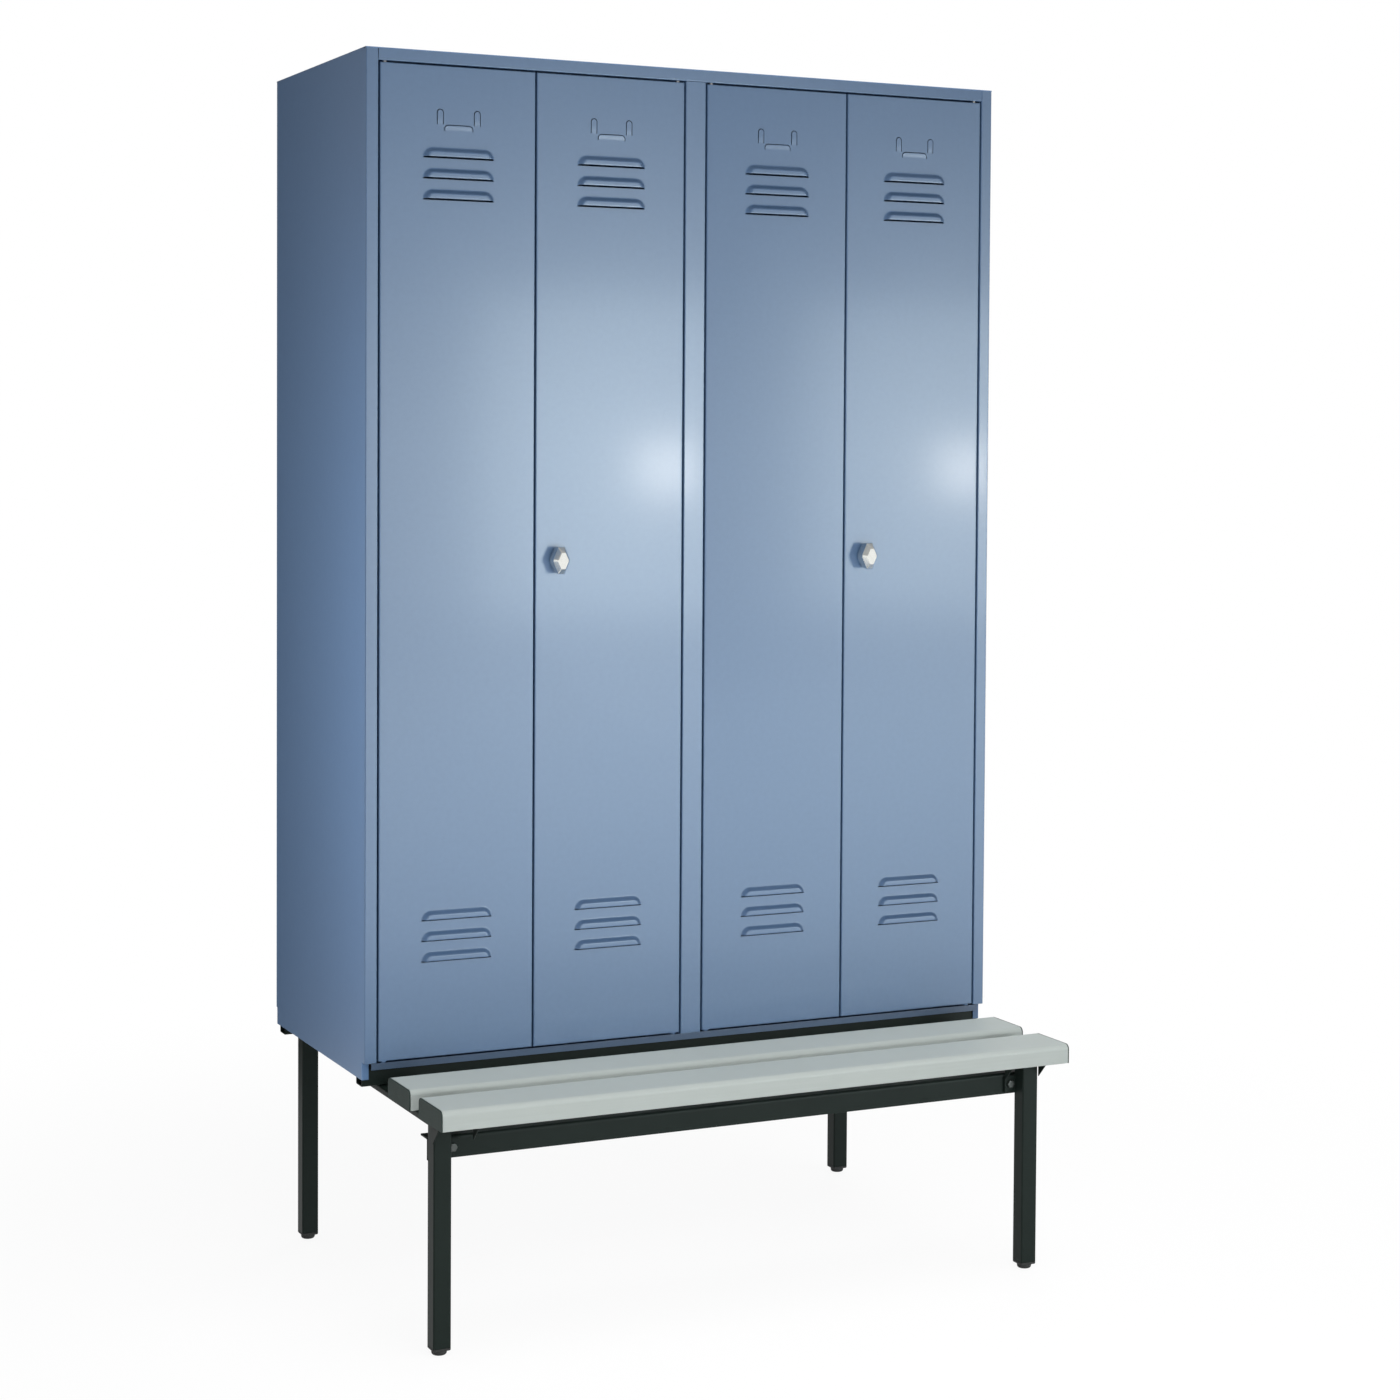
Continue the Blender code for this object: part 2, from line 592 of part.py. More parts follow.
def door_panel(name, low_x, pivot_x, lock_spot):
    high_x = low_x + DOOR_WIDTH
    middle_x = (low_x + high_x) / 2

    def loop(inset, depth):
        x0, x1, z0, z1 = low_x + inset, high_x - inset, DOOR_LOW_Z + inset, DOOR_TOP_Z - inset
        y = FRONT_Y + depth
        return [(x0, y, z0), (x1, y, z0), (x1, y, z1), (x0, y, z1)]

    bm = bmesh.new()
    inner_depth = DOOR_THICKNESS - SHEET
    add_loops(bm, [loop(0, 0), loop(0, DOOR_THICKNESS), loop(DOOR_RETURN, DOOR_THICKNESS),
                   loop(DOOR_RETURN, inner_depth), loop(SHEET, inner_depth), loop(SHEET, SHEET)])
    panel = node(name, bm, "blue", (pivot_x, PIVOT_Y, DOOR_LOW_Z))

    raised = bmesh.new()
    for slot_z in hood_slots():
        add_hood(raised, middle_x, slot_z, 0)
    tab_z = DOOR_TOP_Z - CARD_BELOW_DOOR_TOP - TAB_LENGTH / 2
    for side in (-1, 1):
        add_card_tab(raised, middle_x + side * (CARD_WIDTH + TAB_WIDTH) / 2, tab_z, TAB_WIDTH, TAB_LENGTH)
    add_card_tab(raised, middle_x, tab_z + TAB_LENGTH / 2 - CARD_HEIGHT, LOW_TAB_LENGTH, TAB_WIDTH)
    add_stiffener(raised, middle_x)
    collar_end = FIT - DOOR_GAP
    add_rod(raised, (pivot_x, PIVOT_Y, DOOR_LOW_Z), "Z", collar_end, SHEET / 2, DRAWN_COLLAR_RADIUS)
    combine(panel, raised, "UNION")

    cuts = bmesh.new()
    for slot_z in hood_slots():
        add_hood(cuts, middle_x, slot_z, SHEET)
    rod_hole = HINGE_ROD_RADIUS + FIT
    add_rod(cuts, (pivot_x, PIVOT_Y, DOOR_LOW_Z), "Z", collar_end - OVERRUN, SHEET + OVERRUN, rod_hole)
    add_rod(cuts, (pivot_x, PIVOT_Y, DOOR_TOP_Z), "Z", -SHEET - OVERRUN, OVERRUN, rod_hole)
    if lock_spot:
        add_rod(cuts, lock_spot, "Y", -OVERRUN, SHEET + OVERRUN, BARREL_RADIUS + FIT, ROUND_STEPS)
    combine(panel, cuts, "DIFFERENCE")


# Lock of one pair of doors: a flanged barrel through the door, a housing behind it, and the knob whose
# spindle turns a flat bolt that reaches behind the other door
def lock(side_name, lock_spot, door_origin):
    lock_x, _, lock_z = lock_spot
    rose_front = -FIT - ROSE_THICKNESS
    bore = SPINDLE_RADIUS + FIT
    barrel = bmesh.new()
    profile = [(rose_front, ROSE_RADIUS), (-FIT, ROSE_RADIUS), (-FIT, BARREL_RADIUS),
               (DOOR_THICKNESS, BARREL_RADIUS), (DOOR_THICKNESS, bore), (rose_front, bore)]
    add_turned(barrel, lock_spot, "Y", profile, ROUND_STEPS, ring=True)
    node("lock_barrel_" + side_name, barrel, "bright", door_origin, smooth=True)

    housing = bmesh.new()
    seat = SHEET + FIT
    housing_low = (lock_x - HOUSING_WIDTH / 2, FRONT_Y + seat, lock_z - HOUSING_LENGTH / 2)
    housing_high = (lock_x + HOUSING_WIDTH / 2, FRONT_Y + DOOR_THICKNESS, lock_z + HOUSING_LENGTH / 2)
    add_box(housing, housing_low, housing_high)
    housing_node = node("lock_housing_" + side_name, housing, "zinc", door_origin)
    barrel_hole = bmesh.new()
    add_rod(barrel_hole, lock_spot, "Y", -OVERRUN, DOOR_THICKNESS + OVERRUN, BARREL_RADIUS + FIT, ROUND_STEPS)
    combine(housing_node, barrel_hole, "DIFFERENCE")

    def knob_loop(depth, size_share):
        tip_x, side_x = KNOB_TIP_WIDTH / 2 * size_share, KNOB_WIDTH / 2 * size_share
        tip_z, side_z = KNOB_LENGTH / 2 * size_share, KNOB_SIDE_LENGTH / 2 * size_share
        right = [(side_x, -side_z), (side_x, side_z), (tip_x, tip_z)]
        corners = right + [(-x, z) for x, z in reversed(right)]
        corners = [(tip_x, -tip_z)] + corners + [(-tip_x, -tip_z)]
        return [(lock_x + x, FRONT_Y + depth, lock_z + z) for x, z in corners]

    bolt_front = DOOR_THICKNESS + BOLT_BEHIND_DOOR
    bolt_back = bolt_front + BOLT_THICKNESS
    knob = bmesh.new()
    knob_back = rose_front - FIT
    add_loops(knob, [knob_loop(knob_back, KNOB_NECK_SHARE), knob_loop(-KNOB_RIDGE, 1),
                     knob_loop(-KNOB_REACH, KNOB_FACE_SHARE)])
    knob_node = node("knob_" + side_name, knob, "bright", lock_spot)
    spindle = bmesh.new()
    rivet = bolt_back + FIT
    add_turned(spindle, lock_spot, "Y", [(knob_back - OVERRUN, SPINDLE_RADIUS), (rivet, SPINDLE_RADIUS),
                                         (rivet, RIVET_RADIUS), (rivet + RIVET_HEAD, RIVET_RADIUS)], ROUND_STEPS)
    combine(knob_node, spindle, "UNION")

    bolt = bmesh.new()
    bolt_length = KNOB_FROM_EDGE + DOOR_GAP + BOLT_CATCH
    bolt_low = (lock_x - BOLT_WIDTH / 2, FRONT_Y + bolt_front, lock_z - bolt_length)
    add_box(bolt, bolt_low, (lock_x + BOLT_WIDTH / 2, FRONT_Y + bolt_back, lock_z + BOLT_WIDTH / 2))
    bolt_node = node("lock_bolt_" + side_name, bolt, "zinc", lock_spot)
    bolt_hole = bmesh.new()
    add_rod(bolt_hole, lock_spot, "Y", bolt_front - OVERRUN, bolt_back + OVERRUN, bore, ROUND_STEPS)
    combine(bolt_node, bolt_hole, "DIFFERENCE")


number = 0
for side_name, bay_x in (("left", LEFT_X + STILE_WIDTH), ("right", POST_WIDTH / 2)):
    left_x = bay_x + DOOR_GAP
    right_x = left_x + DOOR_WIDTH + DOOR_GAP
    lock_spot = (right_x + KNOB_FROM_EDGE, FRONT_Y, DOOR_LOW_Z + KNOB_ABOVE_DOOR_END)
    number += 1
    door_panel("door_%d_panel" % number, left_x, left_x + PIVOT_FROM_EDGE, None)
    number += 1
    pivot_x = right_x + DOOR_WIDTH - PIVOT_FROM_EDGE
    door_panel("door_%d_panel" % number, right_x, pivot_x, lock_spot)
    lock(side_name, lock_spot, (pivot_x, PIVOT_Y, DOOR_LOW_Z))

# Underframe: legs of square tube with plastic feet plugged in; the front legs carry a tab for the angle bar
REAR_TUBE_Y = BACK_Y - REAR_TUBE_FROM_BACK - TUBE / 2
FRONT_TUBE_Y = FRONT_Y + FRONT_TUBE_SET_BACK + TUBE / 2
FRONT_LEG_Y = LEG_FRONT_Y + TUBE / 2
LEG_X = RIGHT_X - LEG_INSET - TUBE / 2
ANGLE_TOP_Z = ARM_TOP_Z - ANGLE_BELOW_ARM
ANGLE_LOW_Z = ANGLE_TOP_Z - ANGLE_HEIGHT
ANGLE_FRONT_Y = LEG_FRONT_Y + TUBE + FIT
ANGLE_BOLT_X = LEG_X - TUBE / 2 - TAB_PLATE_REACH / 2
ANGLE_BOLT_Z = (ANGLE_TOP_Z + ANGLE_LOW_Z) / 2
TAB_PLATE_BACK_Y = LEG_FRONT_Y + TUBE - TUBE_CORNER
TAB_PLATE_FRONT_Y = TAB_PLATE_BACK_Y - ANGLE_WALL


def leg(place, leg_x, leg_y, top_z, tab_side):
    leg_mesh = bmesh.new()
    add_tube(leg_mesh, (leg_x, leg_y), "Z", FOOT_HEIGHT + FIT, top_z)
    leg_node = node("leg_" + place, leg_mesh, "black")
    if tab_side:
        tube_face = TUBE / 2 - TUBE_WALL / 2
        across = sorted((leg_x + tab_side * tube_face, leg_x + tab_side * (TUBE / 2 + TAB_PLATE_REACH)))
        plate = bmesh.new()
        add_box(plate, (across[0], TAB_PLATE_FRONT_Y, ANGLE_LOW_Z + TAB_PLATE_MARGIN),
                (across[1], TAB_PLATE_BACK_Y, ANGLE_TOP_Z - TAB_PLATE_MARGIN))
        combine(leg_node, plate, "UNION")
        hole = bmesh.new()
        add_rod(hole, (-tab_side * ANGLE_BOLT_X, TAB_PLATE_BACK_Y, ANGLE_BOLT_Z), "Y",
                -ANGLE_WALL - OVERRUN, OVERRUN, BOLT_SHANK_RADIUS + FIT)
        combine(leg_node, hole, "DIFFERENCE")

    def sole(half, corner, z):
        return [(x, y, z) for x, y in square(half, corner, (leg_x, leg_y))]

    plug_half = TUBE / 2 - TUBE_WALL - FIT
    plug_corner = TUBE_CORNER / 2
    pad_corner = FOOT_PAD_RADIUS - FOOT_PAD_FLAT
    foot = bmesh.new()
    add_loops(foot, [sole(FOOT_PAD_RADIUS - FOOT_TOE, pad_corner - FOOT_TOE, 0),
                     sole(FOOT_PAD_RADIUS, pad_corner, FOOT_TOE), sole(FOOT_PAD_RADIUS, pad_corner, FOOT_PAD),
                     sole(TUBE / 2, TUBE_CORNER, FOOT_PAD), sole(TUBE / 2, TUBE_CORNER, FOOT_HEIGHT),
                     sole(plug_half, plug_corner, FOOT_HEIGHT),
                     sole(plug_half, plug_corner, FOOT_HEIGHT + FOOT_PLUG)])
    node("foot_" + place, foot, "rubber")


UNDER_ARM_Z = ARM_TOP_Z - ARM_SHEET - FIT
UNDER_TUBE_Z = FRAME_TOP_Z - TUBE - FIT
leg("front_left", -LEG_X, FRONT_LEG_Y, UNDER_ARM_Z, 1)
leg("front_right", LEG_X, FRONT_LEG_Y, UNDER_ARM_Z, -1)
leg("rear_left", -LEG_X, REAR_TUBE_Y, UNDER_TUBE_Z, None)
leg("rear_right", LEG_X, REAR_TUBE_Y, UNDER_TUBE_Z, None)

# Cross tubes and side rails of the underframe, welded into a frame under the cabinet floor
TUBE_Z = FRAME_TOP_Z - TUBE / 2
for name, tube_y in (("frame_front_tube", FRONT_TUBE_Y), ("frame_rear_tube", REAR_TUBE_Y)):
    tube_mesh = bmesh.new()
    add_tube(tube_mesh, (tube_y, TUBE_Z), "X", -WALL_X, WALL_X)
    node(name, tube_mesh, "black")
for name, rail_x in (("side_rail_left", -LEG_X), ("side_rail_right", LEG_X)):
    tube_mesh = bmesh.new()
    add_tube(tube_mesh, (rail_x, TUBE_Z), "Y", FRONT_TUBE_Y + TUBE / 2 + FIT, REAR_TUBE_Y - TUBE / 2 - FIT)
    node(name, tube_mesh, "black")

# Bench arms: channels open below, with a gusset at the nose of each side, drilled for the slat screws
SLAT_YS = (BENCH_EDGE_Y + SLAT_WIDTH / 2, BENCH_EDGE_Y + SLAT_WIDTH / 2 + SLAT_SPACING)
SCREW_YS = (FRONT_LEG_Y, SLAT_YS[1])
ARM_OUTER_X = LEG_X + TUBE / 2 + FIT
ARM_INNER_X = ARM_OUTER_X - ARM_INNER_WIDTH
SCREW_X = (LEG_X - TUBE / 2 + ARM_INNER_X) / 2
ARM_NOSE_Y = LEG_FRONT_Y - ARM_NOSE
ARM_END_Y = FRONT_Y + ARM_UNDER_CABINET
ARM_LIP_Z = ARM_TOP_Z - ARM_LIP
ARM_OUTLINE = [(ARM_NOSE_Y, ARM_TOP_Z), (ARM_NOSE_Y, ARM_LIP_Z), (LEG_FRONT_Y, ARM_LIP_Z - ARM_GUSSET),
               (LEG_FRONT_Y, ARM_LIP_Z), (ARM_END_Y, ARM_LIP_Z), (ARM_END_Y, ARM_TOP_Z)]
for name, side in (("bench_arm_left", -1), ("bench_arm_right", 1)):
    outer = sorted((side * (ARM_OUTER_X + ARM_SHEET), side * (ARM_INNER_X - ARM_SHEET)))
    inner = sorted((side * ARM_OUTER_X, side * ARM_INNER_X))
    arm_mesh = bmesh.new()
    add_prism(arm_mesh, ARM_OUTLINE, "X", *outer)
    arm = node(name, arm_mesh, "black")
    channel = bmesh.new()
    channel_low = (inner[0], ARM_NOSE_Y - OVERRUN, ARM_LIP_Z - ARM_GUSSET - OVERRUN)
    add_box(channel, channel_low, (inner[1], ARM_END_Y + OVERRUN, ARM_TOP_Z - ARM_SHEET))
    combine(arm, channel, "DIFFERENCE")
    arm_holes = bmesh.new()
    for screw_y in SCREW_YS:
        screw_spot = (side * SCREW_X, screw_y, ARM_TOP_Z)
        add_rod(arm_holes, screw_spot, "Z", -ARM_SHEET - OVERRUN, OVERRUN, SCREW_RADIUS + FIT)
    combine(arm, arm_holes, "DIFFERENCE")

# Angle bar across the front legs, with the bolts that hold it to their tabs
ANGLE_OUTLINE = folded([(ANGLE_FRONT_Y, ANGLE_LOW_Z), (ANGLE_FRONT_Y, ANGLE_TOP_Z),
                        (ANGLE_FRONT_Y + ANGLE_DEPTH, ANGLE_TOP_Z)], -ANGLE_WALL)
angle_mesh = bmesh.new()
add_prism(angle_mesh, ANGLE_OUTLINE, "X", -LEG_X - TUBE / 2, LEG_X + TUBE / 2)
angle_bar = node("bench_cross_angle", angle_mesh, "black")
angle_holes = bmesh.new()
for bolt_x in (-ANGLE_BOLT_X, ANGLE_BOLT_X):
    bolt_spot = (bolt_x, ANGLE_FRONT_Y, ANGLE_BOLT_Z)
    add_rod(angle_holes, bolt_spot, "Y", -OVERRUN, ANGLE_WALL + OVERRUN, BOLT_SHANK_RADIUS + FIT)
combine(angle_bar, angle_holes, "DIFFERENCE")
HEAD_BACK_Y = TAB_PLATE_FRONT_Y - FIT
for side_name, bolt_x in (("left", -ANGLE_BOLT_X), ("right", ANGLE_BOLT_X)):
    profile = [(HEAD_BACK_Y - BOLT_HEAD, BOLT_HEAD_RADIUS), (HEAD_BACK_Y, BOLT_HEAD_RADIUS),
               (HEAD_BACK_Y, BOLT_SHANK_RADIUS), (ANGLE_FRONT_Y + ANGLE_WALL + BOLT_HEAD, BOLT_SHANK_RADIUS)]
    bolt_mesh = bmesh.new()
    add_turned(bolt_mesh, (bolt_x, 0, ANGLE_BOLT_Z), "Y", profile)
    node("angle_bolt_" + side_name, bolt_mesh, "zinc", smooth=True)


# Bench slats: hollow sections with rounded upper edges, closed by a cap at each end and screwed from below
def slat_outline(x, middle_y, inset):
    radius = SLAT_EDGE_RADIUS - inset
    low_y, high_y = middle_y - SLAT_WIDTH / 2 + inset, middle_y + SLAT_WIDTH / 2 - inset
    low_z, high_z = SLAT_LOW_Z + inset, SLAT_LOW_Z + SLAT_HEIGHT - inset
    points = [(x, low_y, low_z)]
    for centre_y, start in ((low_y + radius, 180), (high_y - radius, 90)):
        for step in range(EDGE_STEPS + 1):
            angle = radians(start - 90 * step / EDGE_STEPS)
            points.append((x, centre_y + radius * cos(angle), high_z - radius + radius * sin(angle)))
    points.append((x, high_y, low_z))
    return points


CAP_X = RIGHT_X - SLAT_END_INSET
SLAT_END_X = CAP_X - SLAT_CAP - FIT
SPIGOT = SLAT_WALL + FIT
SCREW_HEAD_Z = ARM_TOP_Z - ARM_SHEET - FIT
for name, middle_y, screw_y in zip(("front", "rear"), SLAT_YS, SCREW_YS):
    slat_mesh = bmesh.new()
    ends = ((-SLAT_END_X, 0), (SLAT_END_X, 0), (SLAT_END_X, SLAT_WALL), (-SLAT_END_X, SLAT_WALL))
    add_loops(slat_mesh, [slat_outline(x, middle_y, inset) for x, inset in ends], ring=True)
    slat = node("bench_slat_" + name, slat_mesh, "pale", smooth=True)
    slat_holes = bmesh.new()
    for screw_x in (-SCREW_X, SCREW_X):
        screw_spot = (screw_x, screw_y, SLAT_LOW_Z)
        add_rod(slat_holes, screw_spot, "Z", -OVERRUN, SLAT_WALL + OVERRUN, SCREW_RADIUS + FIT)
    combine(slat, slat_holes, "DIFFERENCE")
    for side_name, side in (("left", -1), ("right", 1)):
        cap_mesh = bmesh.new()
        seat_x = side * (CAP_X - SLAT_CAP)
        places = ((side * CAP_X, 0), (seat_x, 0), (seat_x, SPIGOT), (seat_x - side * CAP_SPIGOT, SPIGOT))
        add_loops(cap_mesh, [slat_outline(x, middle_y, inset) for x, inset in places])
        node("slat_cap_%s_%s" % (name, side_name), cap_mesh, "cap", smooth=True)

        profile = [(SCREW_HEAD_Z - SCREW_HEAD, SCREW_HEAD_RADIUS), (SCREW_HEAD_Z, SCREW_HEAD_RADIUS),
                   (SCREW_HEAD_Z, SCREW_RADIUS), (SLAT_LOW_Z + SLAT_WALL + SCREW_TIP, SCREW_RADIUS)]
        screw_mesh = bmesh.new()
        add_turned(screw_mesh, (side * SCREW_X, screw_y, 0), "Z", profile)
        node("slat_screw_%s_%s" % (name, side_name), screw_mesh, "zinc", smooth=True)
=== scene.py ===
from math import atan2, cos, pi, radians, sin, sqrt, tan

import bmesh
import bpy
from mathutils import Matrix, Vector


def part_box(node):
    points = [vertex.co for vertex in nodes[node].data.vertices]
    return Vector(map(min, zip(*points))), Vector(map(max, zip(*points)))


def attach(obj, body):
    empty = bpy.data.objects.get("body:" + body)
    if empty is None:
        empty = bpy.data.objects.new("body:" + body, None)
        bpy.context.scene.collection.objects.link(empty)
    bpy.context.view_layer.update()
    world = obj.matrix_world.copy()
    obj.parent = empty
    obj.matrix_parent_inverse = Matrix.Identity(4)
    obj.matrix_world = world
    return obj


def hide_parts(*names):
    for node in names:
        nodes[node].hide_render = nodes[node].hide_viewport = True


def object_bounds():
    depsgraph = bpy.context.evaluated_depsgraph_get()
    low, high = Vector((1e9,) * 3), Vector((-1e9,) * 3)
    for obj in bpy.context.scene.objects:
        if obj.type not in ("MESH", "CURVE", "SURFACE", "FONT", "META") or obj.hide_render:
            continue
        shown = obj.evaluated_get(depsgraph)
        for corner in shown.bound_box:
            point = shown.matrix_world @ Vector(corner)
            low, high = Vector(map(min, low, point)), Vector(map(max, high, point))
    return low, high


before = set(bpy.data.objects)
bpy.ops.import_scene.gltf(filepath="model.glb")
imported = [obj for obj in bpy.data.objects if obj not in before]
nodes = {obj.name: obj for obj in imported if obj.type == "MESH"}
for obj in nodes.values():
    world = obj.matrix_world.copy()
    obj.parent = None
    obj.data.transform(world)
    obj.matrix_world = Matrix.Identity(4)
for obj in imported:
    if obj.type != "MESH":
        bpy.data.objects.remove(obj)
cad_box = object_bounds()
scene = bpy.context.scene
scene.view_settings.view_transform = "Standard"

# Camera: it stands to the left of the locker at chest height and looks at it from the front left,
# dipped a little, with its film shifted so that the uprights stay nearly upright.
FILM_WIDTH, LENS, FILM_SHIFT = 36, 69.61, -0.11686
EYE_SPOT = (-2.0157, -4.3243, 1.4503)
TURN, DIP, LEAN = -25.607, 2.016, 0.345

eye = bpy.data.objects.new("camera", bpy.data.cameras.new("camera"))
scene.collection.objects.link(eye)
scene.camera = eye
eye.data.sensor_width, eye.data.lens, eye.data.shift_y = FILM_WIDTH, LENS, FILM_SHIFT
eye.location = EYE_SPOT
aim = Matrix.Rotation(radians(TURN), 4, "Z") @ Matrix.Rotation(radians(90 - DIP), 4, "X")
eye.rotation_euler = (aim @ Matrix.Rotation(radians(LEAN), 4, "Z")).to_euler()


# Studio: white paper on the floor that whitens away from the locker, a white surround that dims upward
# in reflections, and a felt flag behind the left side that only reflections show. Soft lamps light the
# locker. A Value is one output of a finish's nodes, and a Finish is one material.
class Value:
    def __init__(self, finish, socket):
        self.finish, self.socket = finish, socket

    def math(self, operation, first, second):
        return self.finish.add("ShaderNodeMath", {"operation": operation}, {0: first, 1: second})

    def __add__(self, other):
        return self.math("ADD", self, other)

    def __sub__(self, other):
        return self.math("SUBTRACT", self, other)

    def __rsub__(self, other):
        return self.math("SUBTRACT", other, self)

    def __mul__(self, other):
        return self.math("MULTIPLY", self, other)

    __radd__, __rmul__ = __add__, __mul__

    def step(self, low, high):
        settings = {"interpolation_type": "SMOOTHSTEP"}
        return self.finish.add("ShaderNodeMapRange", settings, {"Value": self, "From Min": low, "From Max": high})


class Finish:
    metal = False
    MIX_SHARE, MIX_LOW, MIX_HIGH, MIX_RESULT = 0, 6, 7, 2

    def __init__(self, name, tree=None):
        if tree is None:
            self.material = bpy.data.materials.new(name)
            self.material.use_nodes = True
            tree = self.material.node_tree
        self.tree = tree

    def add(self, kind, settings=None, sockets=None, output=0):
        made = self.tree.nodes.new(kind)
        for key, setting in (settings or {}).items():
            setattr(made, key, setting)
        for key, given in (sockets or {}).items():
            self.feed(made.inputs[key], given)
        return Value(self, made.outputs[output])

    def feed(self, socket, given):
        if isinstance(given, Value):
            self.tree.links.new(given.socket, socket)
        elif isinstance(given, tuple) and len(socket.default_value) == 4:
            socket.default_value = (*given, 1.0)
        else:
            socket.default_value = given

    def coat(self, **values):
        for key, given in values.items():
            self.feed(self.tree.nodes["Principled BSDF"].inputs[key.replace("_", " ")], given)
        return self

    def blend(self, low, high, share):
        sockets = {self.MIX_SHARE: share, self.MIX_LOW: low, self.MIX_HIGH: high}
        return self.add("ShaderNodeMix", {"data_type": "RGBA"}, sockets, self.MIX_RESULT)

    def place(self, stretch=(1.0, 1.0, 1.0)):
        spot = self.add("ShaderNodeTexCoord", output="Object")
        return self.add("ShaderNodeVectorMath", {"operation": "MULTIPLY"}, {0: spot, 1: stretch})

    def cloud(self, per_metre, detail=3.0, stretch=(1.0, 1.0, 1.0)):
        sockets = {"Vector": self.place(stretch), "Scale": per_metre, "Detail": detail}
        return self.add("ShaderNodeTexNoise", None, sockets)

    def bump(self, height, depth, under=None):
        sockets = {"Height": height, "Distance": depth}
        if under:
            sockets["Normal"] = under
        return self.add("ShaderNodeBump", None, sockets)


def seen_rays(finish, mirrored=1.0):
    kinds = ("Is Camera Ray", "Is Glossy Ray", "Is Transmission Ray")
    camera, glossy, through = [finish.add("ShaderNodeLightPath", output=kind) for kind in kinds]
    return camera + glossy * mirrored + through


def studio_sheet(name, corners, finish):
    mesh = bpy.data.meshes.new(name)
    mesh.from_pydata(corners, [], [(0, 1, 2, 3)])
    mesh.materials.append(finish.material)
    made = bpy.data.objects.new(name, mesh)
    scene.collection.objects.link(made)
    return made


WHITE = (1.0, 1.0, 1.0)
PAPER = (0.86, 0.86, 0.86)
FELT = (0.03, 0.03, 0.03)
DULL = 0.9
FLOOR_REACH = 14.0
LEAST_WHITE = 0.92
WHITENS_FROM, WHITENS_TO = 0.9, 2.4

paper = Finish("studio_paper")
paper.coat(Base_Color=PAPER, Roughness=DULL, Specular_IOR_Level=0.0)
away = paper.add("ShaderNodeVectorMath", {"operation": "LENGTH"}, {0: paper.place()}, "Value")
white_share = LEAST_WHITE + (1.0 - LEAST_WHITE) * away.step(WHITENS_FROM, WHITENS_TO)
glow = paper.add("ShaderNodeEmission", None, {"Color": WHITE, "Strength": 1.0})
lit_paper = Value(paper, paper.tree.nodes["Principled BSDF"].outputs[0])
mixed = paper.add("ShaderNodeMixShader", None, {0: seen_rays(paper) * white_share, 1: lit_paper, 2: glow})
paper.feed(paper.tree.nodes["Material Output"].inputs["Surface"], mixed)
floor_corners = [(x * FLOOR_REACH, y * FLOOR_REACH, 0) for x, y in ((-1, -1), (1, -1), (1, 1), (-1, 1))]
studio_sheet("studio_floor", floor_corners, paper)

FLAG_Y = 1.5
FLAG_LEFT, FLAG_RIGHT = -1.26, -0.40
FLAG_FOOT, FLAG_TOP = 0.001, 3.4

felt = Finish("studio_felt")
felt.coat(Base_Color=FELT, Roughness=DULL, Specular_IOR_Level=0.0)
flag_corners = [(FLAG_LEFT, FLAG_Y, FLAG_FOOT), (FLAG_RIGHT, FLAG_Y, FLAG_FOOT),
                (FLAG_RIGHT, FLAG_Y, FLAG_TOP), (FLAG_LEFT, FLAG_Y, FLAG_TOP)]
flag = studio_sheet("studio_flag", flag_corners, felt)
flag.visible_camera = flag.visible_diffuse = flag.visible_shadow = flag.visible_transmission = False

AMBIENT = 0.40
DIMS_FROM, DIMS_TO = -0.02, 0.32
OVERHEAD_LOSS = 0.9

scene.world = bpy.data.worlds.new("studio")
scene.world.use_nodes = True
air = Finish("studio", scene.world.node_tree)
surround = air.tree.nodes["Background"]
air.feed(surround.inputs["Color"], WHITE)
way = air.add("ShaderNodeTexCoord", output="Generated")
upward = air.add("ShaderNodeVectorMath", {"operation": "DOT_PRODUCT"}, {0: way, 1: (0.0, 0.0, 1.0)}, "Value")
mirrored_white = 1.0 - OVERHEAD_LOSS * upward.step(DIMS_FROM, DIMS_TO)
air.feed(surround.inputs["Strength"], AMBIENT + seen_rays(air, mirrored_white) * (1.0 - AMBIENT))

COOL = (0.86, 0.98, 1.0)
WARM = (1.0, 0.96, 0.90)


# A mirrored lamp gives gloss alone and any other gives plain light alone. One with a reach lights every
# piece but those that unlit_by names, or only those that lit_alone_by names.
def lamp(name, spot, target, wide, high, watts, reach=None, tint=WHITE, mirrored=False):
    light = bpy.data.lights.new(name, "AREA")
    light.shape, light.size, light.size_y, light.energy, light.color = "RECTANGLE", wide, high, watts, tint
    made = bpy.data.objects.new(name, light)
    made.location = spot
    made.rotation_euler = (Vector(target) - Vector(spot)).to_track_quat("-Z", "Y").to_euler()
    made.visible_camera = False
    made.visible_glossy, made.visible_diffuse = mirrored, not mirrored
    scene.collection.objects.link(made)
    if reach:
        made.light_linking.receiver_collection = reach_of(reach)


def reach_of(name):
    title = name + "_lamp_reach"
    return bpy.data.collections.get(title) or bpy.data.collections.new(title)


def lit_alone_by(piece, name):
    reach_of(name).objects.link(piece)


def unlit_by(piece, *names):
    for name in names:
        reached = reach_of(name)
        reached.objects.link(piece)
        reached.collection_objects[-1].light_linking.link_state = "EXCLUDE"


